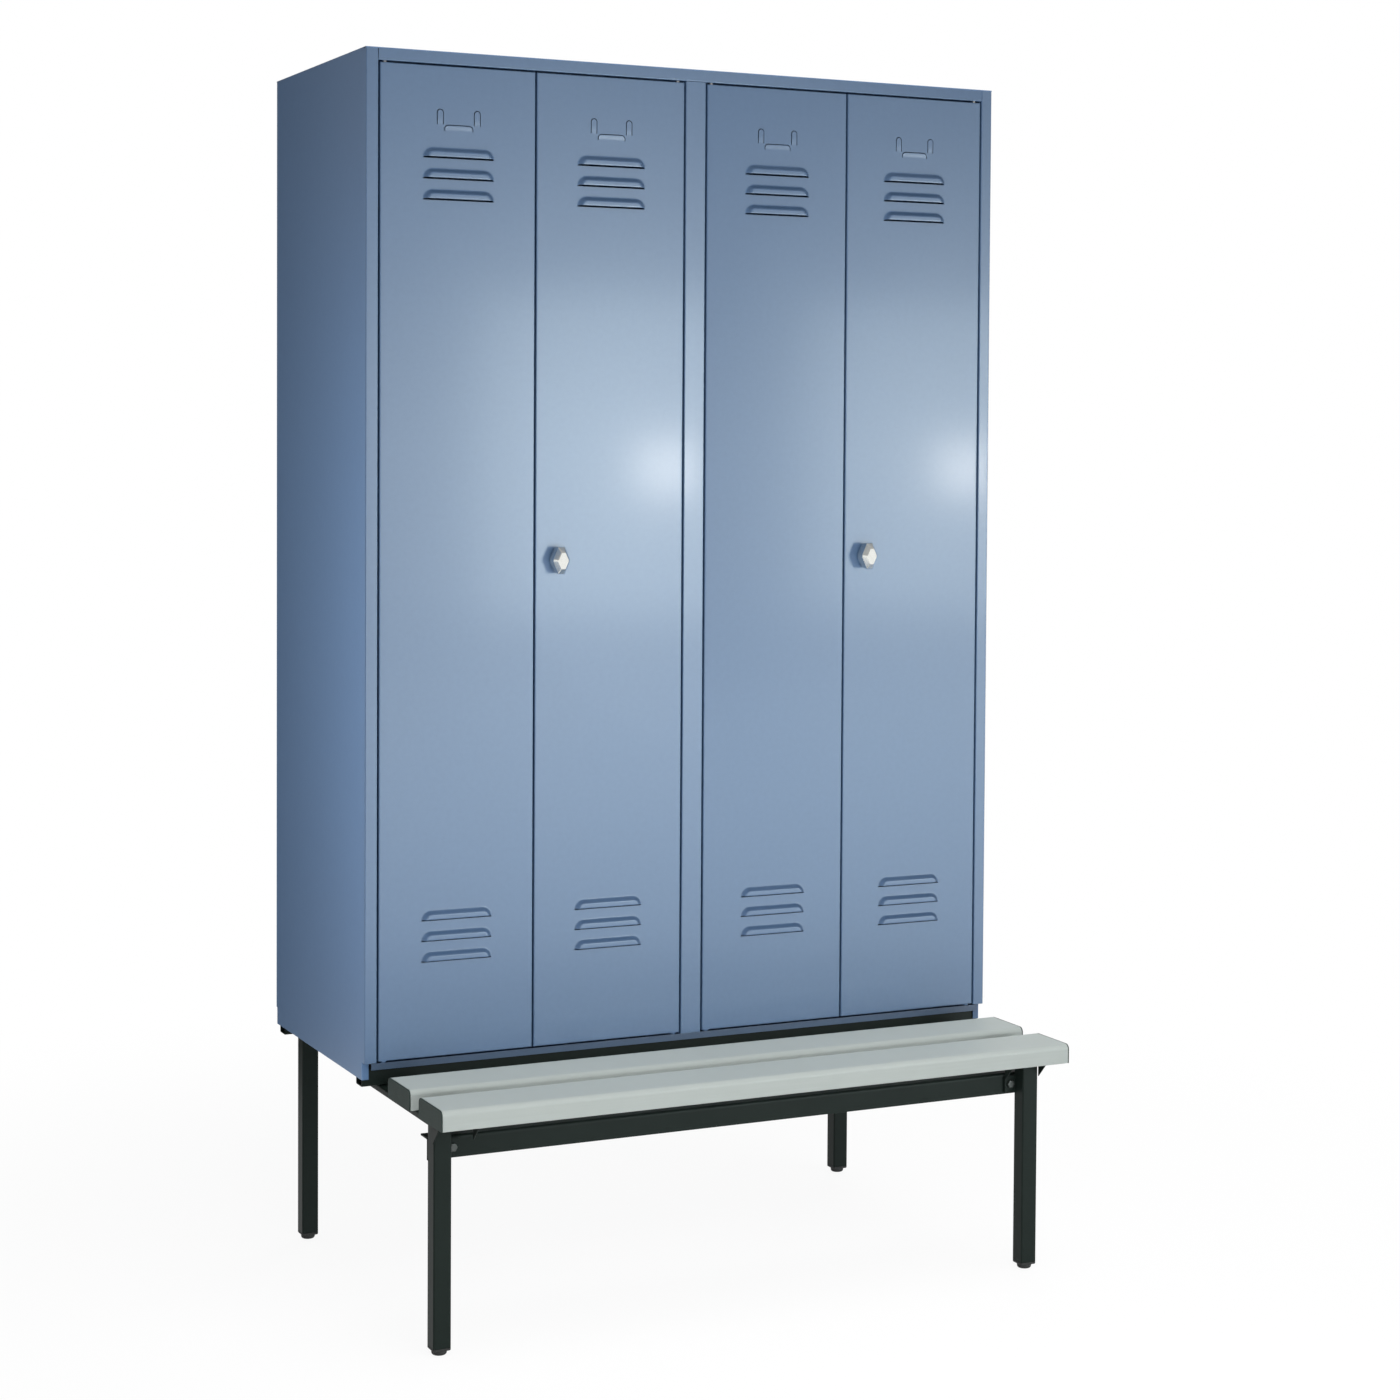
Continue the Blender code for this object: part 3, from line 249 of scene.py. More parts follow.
lamp("front_key", (-1.1, -3.4, 0.85), (0.0, -0.1, 0.85), 1.8, 1.5, 23, "front")
lamp("overhead", (0.6, -1.6, 4.6), (0.0, -0.3, 0.4), 3.5, 3.0, 142, "overhead")
lamp("rear_fill", (2.8, 3.4, 1.5), (0.2, 0.2, 1.1), 2.0, 2.0, 60)
lamp("front_fill", (-0.3, -2.0, 1.15), (-0.05, -0.1, 1.15), 1.4, 1.0, 15.5, "fill")
lamp("near_left", (-1.12, -0.35, 1.08), (-0.595, -0.03, 1.08), 0.3, 1.2, 6, "near")
lamp("low_sheet", (1.25, -2.6, 0.40), (0.0, -0.1, 0.8), 2.8, 0.76, 30, "wide", COOL, True)
lamp("panel_left_pair", (1.75, -4.3, 1.40), (-0.1, -0.1, 1.40), 1.0, 1.10, 84, "left_pair", COOL, True)
lamp("small_left_pair", (1.86, -4.2, 1.36), (-0.1, -0.1, 1.35), 0.17, 0.17, 14, "left_pair", WARM, True)
lamp("panel_right_pair", (2.95, -4.2, 1.40), (0.4, -0.1, 1.40), 1.0, 1.10, 72, "right_pair", COOL, True)
lamp("small_right_pair", (2.98, -4.1, 1.36), (0.4, -0.1, 1.35), 0.17, 0.17, 14, "right_pair", WARM, True)

# Underframe: four legs, two cross tubes and two side rails of square steel tube, cut square, welded, and
# thinly powder-coated in black. Each front leg carries a welded tab for the angle bar behind it.
TUBE = 0.030
TUBE_WALL = 0.002
TUBE_CORNER = 0.0028
TUBE_EASE = TUBE_WALL / 5
CORNER_STEPS = 5
TAB_REACH = 0.022
TAB_SHEET = 0.003
CUT_EDGE = 0.0005
SHARP_FROM, EASED_FROM = 35, 32
BLACK_DEEP, BLACK_DUSTY = (0.0065, 0.0108, 0.0092), (0.0120, 0.0185, 0.0160)

black = Finish("black_powder_coat")
black_dust = black.cloud(9.0, detail=4.0)
black_grain = black.cloud(900.0, detail=2.0)
black_waves = black.bump(black.cloud(30.0, detail=1.0), 0.0003)
black.coat(Base_Color=black.blend(BLACK_DEEP, BLACK_DUSTY, 0.55 * black_dust + 0.45 * black_grain),
           Roughness=0.34 + 0.16 * black_grain, Normal=black.bump(black.cloud(520.0), 0.00005, black_waves),
           Specular_IOR_Level=0.08)


def settled(name, bm, *steps):
    mesh = bpy.data.meshes.new(name)
    bm.to_mesh(mesh)
    bm.free()
    if steps:
        blank = bpy.data.objects.new(name, mesh)
        scene.collection.objects.link(blank)
        for kind, settings in steps:
            step = blank.modifiers.new(kind.title(), kind)
            for key, setting in settings.items():
                setattr(step, key, setting)
        mesh = bpy.data.meshes.new_from_object(blank.evaluated_get(bpy.context.evaluated_depsgraph_get()))
        bpy.data.objects.remove(blank)
    mesh.shade_smooth()
    mesh.set_sharp_from_angle(angle=radians(SHARP_FROM))
    return mesh


def closed(name, bm, *steps):
    bmesh.ops.recalc_face_normals(bm, faces=bm.faces[:])
    return settled(name, bm, *steps)


def eased(width, segments=2):
    limit = {"limit_method": "ANGLE", "angle_limit": radians(EASED_FROM)}
    return "BEVEL", {"width": width, "segments": segments, **limit}


def dress(name, mesh, finish, body, slot, *stands_for, at=(0, 0, 0)):
    made = bpy.data.objects.new(name, mesh)
    made.location = at
    scene.collection.objects.link(made)
    if not mesh.materials:
        mesh.materials.append(finish.material)
    made.modifiers.new("Flats", "WEIGHTED_NORMAL").keep_sharp = True
    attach(made, body)
    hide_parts(*stands_for)
    if finish.metal:
        unlit_by(made, "fill", "wide", "left_pair", "right_pair")
    return made


def set_in(point, axis, along):
    spot = list(point)
    spot.insert("XYZ".index(axis), along)
    return spot


def join(bm, loops, ring=False):
    rows = [[bm.verts.new(point) for point in loop] for loop in loops]
    if ring:
        rows.append(rows[0])
    else:
        bm.faces.new(rows[0])
        bm.faces.new(rows[-1])
    for row, after in zip(rows, rows[1:]):
        for i in range(len(row)):
            k = (i + 1) % len(row)
            bm.faces.new((row[i], row[k], after[k], after[i]))


def drawn(bm, outline, axis, *places):
    join(bm, [[set_in(point, axis, along) for point in outline] for along in places])


def rounded_square(half, corner, middle):
    points = []
    for quarter in range(4):
        cx = middle[0] + (half - corner) * (1 if quarter in (0, 3) else -1)
        cy = middle[1] + (half - corner) * (1 if quarter in (0, 1) else -1)
        for step in range(CORNER_STEPS + 1):
            angle = (quarter + step / CORNER_STEPS) * pi / 2
            points.append((cx + corner * cos(angle), cy + corner * sin(angle)))
    return points


def tube(bm, middle, axis, low, high):
    outer = rounded_square(TUBE / 2, TUBE_CORNER, middle)
    ended = rounded_square(TUBE / 2 - TUBE_EASE, TUBE_CORNER - TUBE_EASE, middle)
    inner = rounded_square(TUBE / 2 - TUBE_WALL, TUBE_CORNER / 2, middle)
    rows = ((ended, low), (outer, low + TUBE_EASE), (outer, high - TUBE_EASE), (ended, high), (inner, high),
            (inner, low))
    join(bm, [[set_in(point, axis, along) for point in outline] for outline, along in rows], ring=True)


bar_low, bar_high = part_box("bench_cross_angle")
for name in ("leg_front_left", "leg_front_right", "leg_rear_left", "leg_rear_right"):
    low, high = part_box(name)
    side = -1 if "left" in name else 1
    leg_x = side * (max(abs(low.x), abs(high.x)) - TUBE / 2)
    leg_mesh = bmesh.new()
    tube(leg_mesh, (leg_x, (low.y + high.y) / 2), "Z", low.z, high.z)
    dress(name + "_tube", closed(name, leg_mesh), black, "cabinet", "frame_black", name)
    if "front" in name:
        root_x = leg_x - side * TUBE / 2
        tip_x = root_x - side * TAB_REACH
        tab_back = high.y - TUBE_WALL
        tab_low, tab_high = bar_low.z + TAB_SHEET, bar_high.z - TAB_SHEET
        tab = [(root_x, tab_low), (tip_x, tab_low), (tip_x, tab_high), (root_x, tab_high)]
        tab_mesh = bmesh.new()
        drawn(tab_mesh, tab, "Y", tab_back - TAB_SHEET, tab_back)
        dress(name + "_tab", closed(name + "_tab", tab_mesh, eased(CUT_EDGE)), black, "cabinet", "frame_black")
for name in ("frame_front_tube", "frame_rear_tube", "side_rail_left", "side_rail_right"):
    low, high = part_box(name)
    middle = (low + high) / 2
    tube_mesh = bmesh.new()
    if "frame" in name:
        tube(tube_mesh, (middle.y, middle.z), "X", low.x, high.x)
    else:
        tube(tube_mesh, (middle.x, middle.z), "Y", low.y, high.y)
    dress(name + "_section", closed(name, tube_mesh), black, "cabinet", "frame_black", name)

# Bench arms and angle bar: folded steel under the same black coat. Each arm is a channel over the front
# leg with a pointed gusset at its nose, and the bar is an angle bolted behind the front legs.
ARM_SHEET = 0.002
ARM_LIP = 0.011
ARM_NOSE = 0.025
ARM_BEND = 0.0015
ARM_EDGE = 0.0003
BAR_WALL = 0.003
BAR_BEND = 0.002
SHEET_BEND = 0.0006
BEND_STEPS = 5


def bent(path, thickness, inner=SHEET_BEND):
    points = [Vector(point) for point in path]
    face, back = [], []
    for i, point in enumerate(points):
        before = (point - points[i - 1]).normalized() if i > 0 else None
        after = (points[i + 1] - point).normalized() if i < len(points) - 1 else None
        if before is None or after is None:
            way = before or after
            face.append(tuple(point))
            back.append(tuple(point + Vector((-way.y, way.x)) * thickness))
            continue
        turn = atan2(before.x * after.y - before.y * after.x, before.dot(after))
        side = 1 if turn > 0 else -1
        radius = inner + (abs(thickness) if side * thickness > 0 else 0)
        arm = -Vector((-before.y, before.x)) * side * radius
        centre = point - before * radius * tan(abs(turn) / 2) - arm
        for step in range(BEND_STEPS + 1):
            swung = Matrix.Rotation(turn * step / BEND_STEPS, 2) @ arm
            face.append(tuple(centre + swung))
            back.append(tuple(centre + swung * (1 - side * thickness / radius)))
    return face + back[::-1]


for name in ("bench_arm_left", "bench_arm_right"):
    low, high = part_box(name)
    lip_z = high.z - ARM_LIP
    channel = [(low.x, lip_z), (low.x, high.z), (high.x, high.z), (high.x, lip_z)]
    gusset = [(low.y, lip_z), (low.y + ARM_NOSE, low.z), (low.y + ARM_NOSE, lip_z)]
    arm_mesh = bmesh.new()
    drawn(arm_mesh, bent(channel, -ARM_SHEET, ARM_BEND), "Y", low.y, high.y)
    for wall in (low.x, high.x - ARM_SHEET):
        drawn(arm_mesh, gusset, "X", wall, wall + ARM_SHEET)
    dress(name + "_channel", closed(name, arm_mesh, eased(ARM_EDGE, 1)), black, "cabinet", "frame_black", name)

angle = [(bar_low.y, bar_low.z), (bar_low.y, bar_high.z), (bar_high.y, bar_high.z)]
bar_mesh = bmesh.new()
drawn(bar_mesh, bent(angle, -BAR_WALL, BAR_BEND), "X", bar_low.x, bar_high.x)
dress("bench_angle_bar", closed("bench_angle_bar", bar_mesh, eased(CUT_EDGE)), black, "cabinet", "frame_black",
      "bench_cross_angle")

# Bolts of the angle bar and screws under the slats: steel, the bolts blackened and the screws zinc-plated,
# faintly blue and yellow from the plating bath. The bolts have six-sided heads, the screws low round ones.
BOLT_HEAD = 0.004
BOLT_SHANK = 0.004
BOLT_POINT = 0.0008
BOLT_EDGE = 0.0003
CROWN_UP, CROWN_DEEP = 0.0005, 0.0006
CROWN_TOP, CROWN_FOOT = 0.78, 0.84
SCREW_HEAD = 0.003
ZINC_BLUE, ZINC_YELLOW = (0.54, 0.57, 0.61), (0.66, 0.65, 0.61)
BLACKENED, WORN = (0.030, 0.034, 0.033), (0.075, 0.078, 0.074)

zinc = Finish("zinc_plate")
zinc.metal = True
zinc_grain = zinc.cloud(700.0)
zinc.coat(Base_Color=zinc.blend(ZINC_BLUE, ZINC_YELLOW, zinc.cloud(28.0)), Metallic=0.85,
          Roughness=0.36 + 0.24 * zinc_grain, Normal=zinc.bump(zinc_grain, 0.00002))

dark_zinc = Finish("blackened_zinc")
dark_grain = dark_zinc.cloud(600.0)
dark_zinc.coat(Base_Color=dark_zinc.blend(BLACKENED, WORN, dark_grain), Metallic=0.8,
               Roughness=0.30 + 0.2 * dark_grain, Normal=dark_zinc.bump(dark_grain, 0.00002))


def turned(bm, centre, axis, profile, sides=40, ring=False):
    loops = []
    for along, radius in profile:
        around = [2 * pi * step / sides for step in range(sides)]
        spots = [set_in((radius * cos(angle), radius * sin(angle)), axis, along) for angle in around]
        loops.append([Vector(centre) + Vector(spot) for spot in spots])
    join(bm, loops, ring)


def quarter_round(first=1, steps=6):
    angles = [t * pi / 2 / steps for t in range(first, steps + 1)]
    return [(1 - cos(angle), sin(angle)) for angle in angles]


for name in ("angle_bolt_left", "angle_bolt_right"):
    low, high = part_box(name)
    centre = ((low.x + high.x) / 2, 0, (low.z + high.z) / 2)
    head = (high.x - low.x) / 2
    shank = [(low.y + BOLT_HEAD, BOLT_SHANK), (high.y - BOLT_POINT, BOLT_SHANK), (high.y, BOLT_SHANK - BOLT_POINT)]
    bolt_mesh = bmesh.new()
    turned(bolt_mesh, centre, "Y", [(low.y + CROWN_UP, head), (low.y + BOLT_HEAD, head)], sides=6)
    turned(bolt_mesh, centre, "Y", [(low.y, head * CROWN_TOP), (low.y + CROWN_DEEP, head * CROWN_FOOT)])
    turned(bolt_mesh, centre, "Y", shank)
    dress(name + "_dark", closed(name, bolt_mesh, eased(BOLT_EDGE)), dark_zinc, "cabinet", "zinc", name)
for name in [n for n in nodes if n.startswith("slat_screw")]:
    low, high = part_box(name)
    centre = ((low.x + high.x) / 2, (low.y + high.y) / 2, low.z)
    head = (high.x - low.x) / 2
    dome = [(SCREW_HEAD * fall, head * out) for fall, out in quarter_round()]
    screw_mesh = bmesh.new()
    turned(screw_mesh, centre, "Z", dome + [(SCREW_HEAD, head / 2), (high.z - low.z, head / 2)], sides=24)
    dress(name + "_bright", closed(name, screw_mesh), zinc, "cabinet", "zinc", name)

# Feet: black plastic glides pushed into the tube ends, with a square rim under the tube and a round
# domed pad that stands on the floor.
FOOT_PAD = 0.008
FOOT_PAD_RADIUS = 0.0125
PAD_ROUND_WIDE, PAD_ROUND_HIGH = 0.0035, 0.0045
RIM_EASE, RIM_EASE_HIGH = 0.0008, 0.0012
RIM_GAP = 0.0003
GLIDE_BLACK, GLIDE_SCUFFED = (0.010, 0.011, 0.011), (0.028, 0.029, 0.028)

glide = Finish("foot_plastic")
glide_grain = glide.cloud(1500.0, detail=2.0)
glide.coat(Base_Color=glide.blend(GLIDE_BLACK, GLIDE_SCUFFED, glide.cloud(60.0, detail=4.0)),
           Roughness=0.55 + 0.25 * glide_grain, Normal=glide.bump(glide_grain, 0.00006), Specular_IOR_Level=0.3)
for name in [n for n in nodes if n.startswith("foot_")]:
    low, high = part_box(name)
    middle = (low + high) / 2
    rim_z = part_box(name.replace("foot", "leg"))[0].z - RIM_GAP
    sole = FOOT_PAD_RADIUS - PAD_ROUND_WIDE
    pad = [(low.z, sole)]
    pad += [(low.z + PAD_ROUND_HIGH * fall, sole + PAD_ROUND_WIDE * out) for fall, out in quarter_round()]
    rim = rounded_square(TUBE / 2, TUBE_CORNER, middle)
    under = rounded_square(TUBE / 2 - RIM_EASE, TUBE_CORNER - RIM_EASE / 2, middle)
    plug = rounded_square(TUBE / 2 - TUBE_WALL, TUBE_CORNER / 2, middle)
    foot_mesh = bmesh.new()
    turned(foot_mesh, (middle.x, middle.y, 0), "Z", pad + [(FOOT_PAD, FOOT_PAD_RADIUS)], sides=48)
    rim_rows = ((under, FOOT_PAD), (rim, FOOT_PAD + RIM_EASE_HIGH), (rim, rim_z))
    plug_rows = ((plug, rim_z), (plug, high.z))
    for rows in (rim_rows, plug_rows):
        join(foot_mesh, [[(x, y, z) for x, y in outline] for outline, z in rows])
    dress(name + "_glide", closed(name, foot_mesh), glide, "cabinet", "foot_rubber", name)

# Cabinet: folded sheet steel under a smooth satin blue powder coat. Each side has a rear flange, a skirt and
# a front stile with its return. The top folds down into the top rail and a stop flange behind it, with
# pressed dimples for the doors to rest on.
SHEET = 0.001
STILE = 0.021
STOP_DEPTH = 0.024
STOP_FLANGE = 0.015
REAR_FLANGE = 0.016
STILE_FOLD = 0.0018
SKIRT_SET_BACK = 0.015
SKIRT_FLANGE = 0.012
SKIRT_REAR_STEP = 0.006
RAIL_GAP = 0.0003
DIMPLE = 0.004
DIMPLE_RADIUS = 0.005
DIMPLE_FLAT = 0.35
DIMPLES_OUT, DIMPLES_OFF = 0.2965, 0.030
POST_EDGE = 0.0002
BLUE_DEEP, BLUE_LIGHT = (0.064, 0.120, 0.224), (0.083, 0.156, 0.278)

WIDTH = cad_box[1].x - cad_box[0].x
TOP_Z = cad_box[1].z
BACK_Y = cad_box[1].y
FRONT_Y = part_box("top_panel")[0].y
STOP_Y = FRONT_Y + STOP_DEPTH
BASE_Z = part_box("side_panel_left")[0].z
FACE_END_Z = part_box("floor_panel")[1].z + SHEET
OPENING_TOP_Z = TOP_Z - STILE
UNDER_TOP_Z = TOP_Z - 2 * SHEET


def blue_coat(name):
    blue = Finish(name)
    drift = blue.cloud(2.3, detail=2.0)
    grain = blue.cloud(850.0, detail=2.0)
    mottle = blue.cloud(105.0)
    colour = blue.blend(BLUE_DEEP, BLUE_LIGHT, 0.25 * drift + 0.45 * mottle + 0.3 * grain)
    peel = blue.bump(blue.cloud(430.0, detail=2.0), 0.00004, blue.bump(blue.cloud(3.1, detail=1.0), 0.0008))
    return blue.coat(Base_Color=colour, Roughness=0.34 + 0.06 * grain, Normal=peel,
                     Coat_Weight=0.08 + 0.04 * drift, Coat_Roughness=0.12)


cabinet_blue = blue_coat("cabinet_blue_powder_coat")
for side, name in ((-1, "side_panel_left"), (1, "side_panel_right")):
    edge_x = side * WIDTH / 2
    stile_x = edge_x - side * STILE
    skirt_y = FRONT_Y + SKIRT_SET_BACK
    flat = [(edge_x, FRONT_Y + STILE_FOLD), (edge_x, BACK_Y), (edge_x - side * REAR_FLANGE, BACK_Y)]
    skirt = [(edge_x - side * SKIRT_FLANGE, skirt_y), (edge_x, skirt_y), (edge_x, BACK_Y - SKIRT_REAR_STEP)]
    head = [(edge_x, skirt_y), (edge_x, BACK_Y)]
    side_mesh = bmesh.new()
    drawn(side_mesh, bent(flat, side * SHEET), "Z", FACE_END_Z, UNDER_TOP_Z)
    drawn(side_mesh, bent(skirt, side * SHEET), "Z", BASE_Z, FACE_END_Z)
    drawn(side_mesh, bent(head, side * SHEET), "Z", UNDER_TOP_Z, TOP_Z - SHEET)
    piece = dress(name + "_sheet", closed(name, side_mesh), cabinet_blue, "cabinet", "cabinet_blue", name)
    unlit_by(piece, "wide", "left_pair", "right_pair")
    if side < 0:
        lit_alone_by(piece, "near")
    stile = [(stile_x, STOP_Y), (stile_x, FRONT_Y), (edge_x, FRONT_Y), (edge_x, FRONT_Y + STILE_FOLD)]
    stile_mesh = bmesh.new()
    drawn(stile_mesh, bent(stile, side * SHEET), "Z", FACE_END_Z, UNDER_TOP_Z)
    piece = dress(name + "_stile", closed(name, stile_mesh), cabinet_blue, "cabinet", "cabinet_blue")
    unlit_by(piece, "overhead", "right_pair" if side < 0 else "left_pair")

rail_x = WIDTH / 2 - STILE - RAIL_GAP
top = [(BACK_Y, TOP_Z), (FRONT_Y, TOP_Z), (FRONT_Y, TOP_Z - STILE_FOLD)]
top_end = [(BACK_Y, TOP_Z), (FRONT_Y, TOP_Z), (FRONT_Y, UNDER_TOP_Z)]
top_mesh = bmesh.new()
drawn(top_mesh, bent(top, SHEET), "X", -rail_x, rail_x)
for side in (-1, 1):
    drawn(top_mesh, bent(top_end, SHEET), "X", side * rail_x, side * WIDTH / 2)
piece = dress("top_sheet", closed("top_sheet", top_mesh), cabinet_blue, "cabinet", "cabinet_blue", "top_panel")
unlit_by(piece, "right_pair")

rail = [(FRONT_Y, TOP_Z - STILE_FOLD), (FRONT_Y, OPENING_TOP_Z), (STOP_Y, OPENING_TOP_Z),
        (STOP_Y, OPENING_TOP_Z - STOP_FLANGE)]
rail_mesh = bmesh.new()
drawn(rail_mesh, bent(rail, SHEET), "X", -rail_x, rail_x)
for dimple_x in [side * (DIMPLES_OUT + off) for side in (-1, 1) for off in (-DIMPLES_OFF, DIMPLES_OFF)]:
    dome = [(DIMPLE * (fall - 1), DIMPLE_RADIUS * (DIMPLE_FLAT + (1 - DIMPLE_FLAT) * out))
            for fall, out in quarter_round(0)]
    turned(rail_mesh, (dimple_x, STOP_Y, OPENING_TOP_Z - STOP_FLANGE / 2), "Y",
           dome + [(SHEET / 2, DIMPLE_RADIUS)], sides=24)
piece = dress("top_rail", closed("top_rail", rail_mesh), cabinet_blue, "cabinet", "cabinet_blue")
unlit_by(piece, "overhead", "right_pair")

low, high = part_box("centre_post")
post = [(low.x, high.y), (low.x, low.y), (high.x, low.y), (high.x, high.y)]
post_mesh = bmesh.new()
drawn(post_mesh, bent(post, SHEET), "Z", low.z, high.z)
post_mesh = closed("centre_post", post_mesh, eased(POST_EDGE, 1))
piece = dress("centre_post_channel", post_mesh, cabinet_blue, "cabinet", "cabinet_blue", "centre_post")
unlit_by(piece, "overhead", "right_pair")

# Floor, back, partition, dividers and hat shelves: single steel sheets with short folds, their cut edges
# broken, set between the sides under the same blue coat.
INNER_EDGE = 0.0003
ONE_POINT = 0.00001
FLAT_WITHIN = 1


def broken_edges(name, finish, body, slot, width, segments=2):
    bm = bmesh.new()
    bm.from_mesh(nodes[name].data)
    bmesh.ops.remove_doubles(bm, verts=bm.verts[:], dist=ONE_POINT)
    bmesh.ops.dissolve_limit(bm, angle_limit=radians(FLAT_WITHIN), verts=bm.verts[:], edges=bm.edges[:])
    return dress(name + "_piece", closed(name, bm, eased(width, segments)), finish, body, slot, name)


for name in ("floor_panel", "back_panel", "centre_partition", "divider_left", "divider_right", "hat_shelf_left",
             "hat_shelf_right"):
    piece = broken_edges(name, cabinet_blue, "cabinet", "cabinet_blue", INNER_EDGE)
    if name == "floor_panel":
        unlit_by(piece, "overhead", "front", "fill", "wide")

# Clothes rails and coat hooks: each rail is zinc-plated tube, held at both ends in pressed cups. Each hook
# is flat zinc-plated steel, bent over the rail and up again below it.
RAIL_RADIUS = 0.009
CUP_FLANGE = ((0, 0), (0.0015, 0), (0.0022, -0.0007))
CUP_SLEEVE = ((0.0027, 0.0018), (0.0092, 0.0014), (0.0100, 0.0008), (0.0100, 0))
HOOK_THICK = 0.005
HOOK_DROP = 0.034
HOOK_BEND = 0.014
HOOK_GRIP = 0.0093
HOOK_EDGE = 0.0012
HOOK_STEPS = 24
GRIP_FROM, GRIP_SWEEP, BEND_SWEEP = -40, 220, 200

for name in ("clothes_rail_left", "clothes_rail_right"):
    low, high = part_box(name)
    flange = (high.z - low.z) / 2
    run = high.x - low.x
    half = [(along, flange + out) for along, out in CUP_FLANGE]
    half += [(along, RAIL_RADIUS + out) for along, out in CUP_SLEEVE]
    profile = half + [(run - along, radius) for along, radius in half[::-1]]
    rail_mesh = bmesh.new()
    turned(rail_mesh, (low.x, (low.y + high.y) / 2, (low.z + high.z) / 2), "X", profile, sides=48)
    dress(name + "_tube", closed(name, rail_mesh), zinc, "cabinet", "zinc", name)

rail_low, rail_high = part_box("clothes_rail_left")
rail_y, rail_z = (rail_low.y + rail_high.y) / 2, (rail_low.z + rail_high.z) / 2
bend_y, bend_z = rail_y + HOOK_GRIP - HOOK_BEND, rail_z - HOOK_DROP
hook = []
for thick, order in ((0, 1), (HOOK_THICK, -1)):
    line = []
    for step in range(HOOK_STEPS + 1):
        turn = radians(GRIP_FROM + GRIP_SWEEP * step / HOOK_STEPS)
        line.append((rail_y - (HOOK_GRIP + thick) * cos(turn), rail_z + (HOOK_GRIP + thick) * sin(turn)))
    for step in range(HOOK_STEPS + 1):
        turn = radians(BEND_SWEEP * step / HOOK_STEPS)
        line.append((bend_y + (HOOK_BEND + thick) * cos(turn), bend_z - (HOOK_BEND + thick) * sin(turn)))
    hook += line[::order]
for name in [n for n in nodes if n.startswith("coat_hook")]:
    low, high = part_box(name)
    hook_mesh = bmesh.new()
    drawn(hook_mesh, hook, "X", low.x, high.x)
    dress(name + "_bent", closed(name, hook_mesh, eased(HOOK_EDGE, 3)), zinc, "cabinet", "zinc", name)

# Hinge rods: round zinc-plated steel rod with a small upset head under the floor. Each is pushed up through
# the floor and its door into the top rail, and the door turns on it.
ROD_RADIUS = 0.003
ROD_POINT = 0.001
ROD_HEAD = ((0, 0.7), (0.0006, 1), (0.0019, 1))
ROD_NECK = 0.0022

for name in [n for n in nodes if n.startswith("hinge_rod")]:
    low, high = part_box(name)
    head = (high.x - low.x) / 2
    profile = [(low.z + up, head * share) for up, share in ROD_HEAD]
    profile += [(low.z + ROD_NECK, ROD_RADIUS), (high.z - ROD_POINT, ROD_RADIUS), (high.z, ROD_RADIUS - ROD_POINT)]
    rod_mesh = bmesh.new()
    turned(rod_mesh, ((low.x + high.x) / 2, (low.y + high.y) / 2, 0), "Z", profile, sides=32)
    dress(name + "_bar", closed(name, rod_mesh), zinc, "cabinet", "zinc", name)

# Doors: pans of sheet steel under the same blue coat, with rounded folds, three louvres above and three
# below pressed out of the sheet, a card holder of two lanced fingers and a low pocket, and a hat-shaped
# stiffener welded behind. All four leaves are pressed alike, and each has a collar round its hinge rod.
DOOR_LOW = 0.002
FOLD = 0.0016
FOLD_STEPS = 5
RETURN = 0.012
FACE_BORDER = 0.003
LOUVRE_WIDE = 0.125
LOUVRE_HIGH = 0.0178
LOUVRE_REACH = 0.0065
LOUVRE_END = 0.017
LOUVRE_SLOPE_SHARE = 0.45
LOUVRE_GAP = 0.0024
LOUVRE_CURL = 0.0004
LOUVRE_PITCH = 0.0345
LOUVRE_SIDE, LOUVRE_MARGIN = 0.001, 0.07
LOUVRES_FROM_TOP = 0.1518
LOUVRES_FROM_END = 0.1586
LIP_RISES = (0.0, 0.02, 0.06)
LIP_CURLS = {2: 1.0, 3: 0.45, 4: 0.1}
HOOD_RISES = (0.25, 0.40, *(0.50 + 0.05 * t for t in range(11)))
HOOD_END_STEPS = 12
SLIT_CLOSED = 0.0001
FINGER_WIDE = 0.009
FINGER_LONG = 0.024
FINGER_APART = 0.065
FINGERS_FROM_TOP = 0.072
POCKET_WIDE = 0.048
POCKET_HIGH = 0.009
POCKET_BELOW = 0.0105
POCKET_CORNER = 0.006
TONGUE_REACH = 0.0004
TONGUE_SLIT = 0.0015
TONGUE_BEND = 0.009
TONGUE_SPARE = 0.0001
TONGUE_ACROSS = (-1, -0.6, 0, 0.6, 1)
TONGUE_STEPS = 6
STIFFENER_DEEP = 0.0145
STIFFENER_HAT, STIFFENER_BRIM = 0.020, 0.032
STIFFENER_CLEAR = 0.030
STIFFENER_EDGE = 0.0002
COLLAR = ((-0.0027, 0.0049), (-0.0022, 0.0055), (0, 0.0058), (0, 0.0033), (-0.0027, 0.0033))

leaf_low, leaf_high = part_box("door_1_panel")
LEAF_THICK = leaf_high.y - FRONT_Y
LEAF_WIDE = leaf_high.x - leaf_low.x
DOOR_LOW_Z = FACE_END_Z + DOOR_LOW
LEAF_HIGH = leaf_high.z - DOOR_LOW_Z
door_blue = blue_coat("door_blue_powder_coat")


def border_edges(bm, ring):
    ring = [vert for i, vert in enumerate(ring) if vert is not ring[i - 1]]
    return [bm.edges.get(pair) or bm.edges.new(pair) for pair in zip(ring, ring[1:] + ring[:1])]


def smooth(t):
    return t * t * (3 - 2 * t)


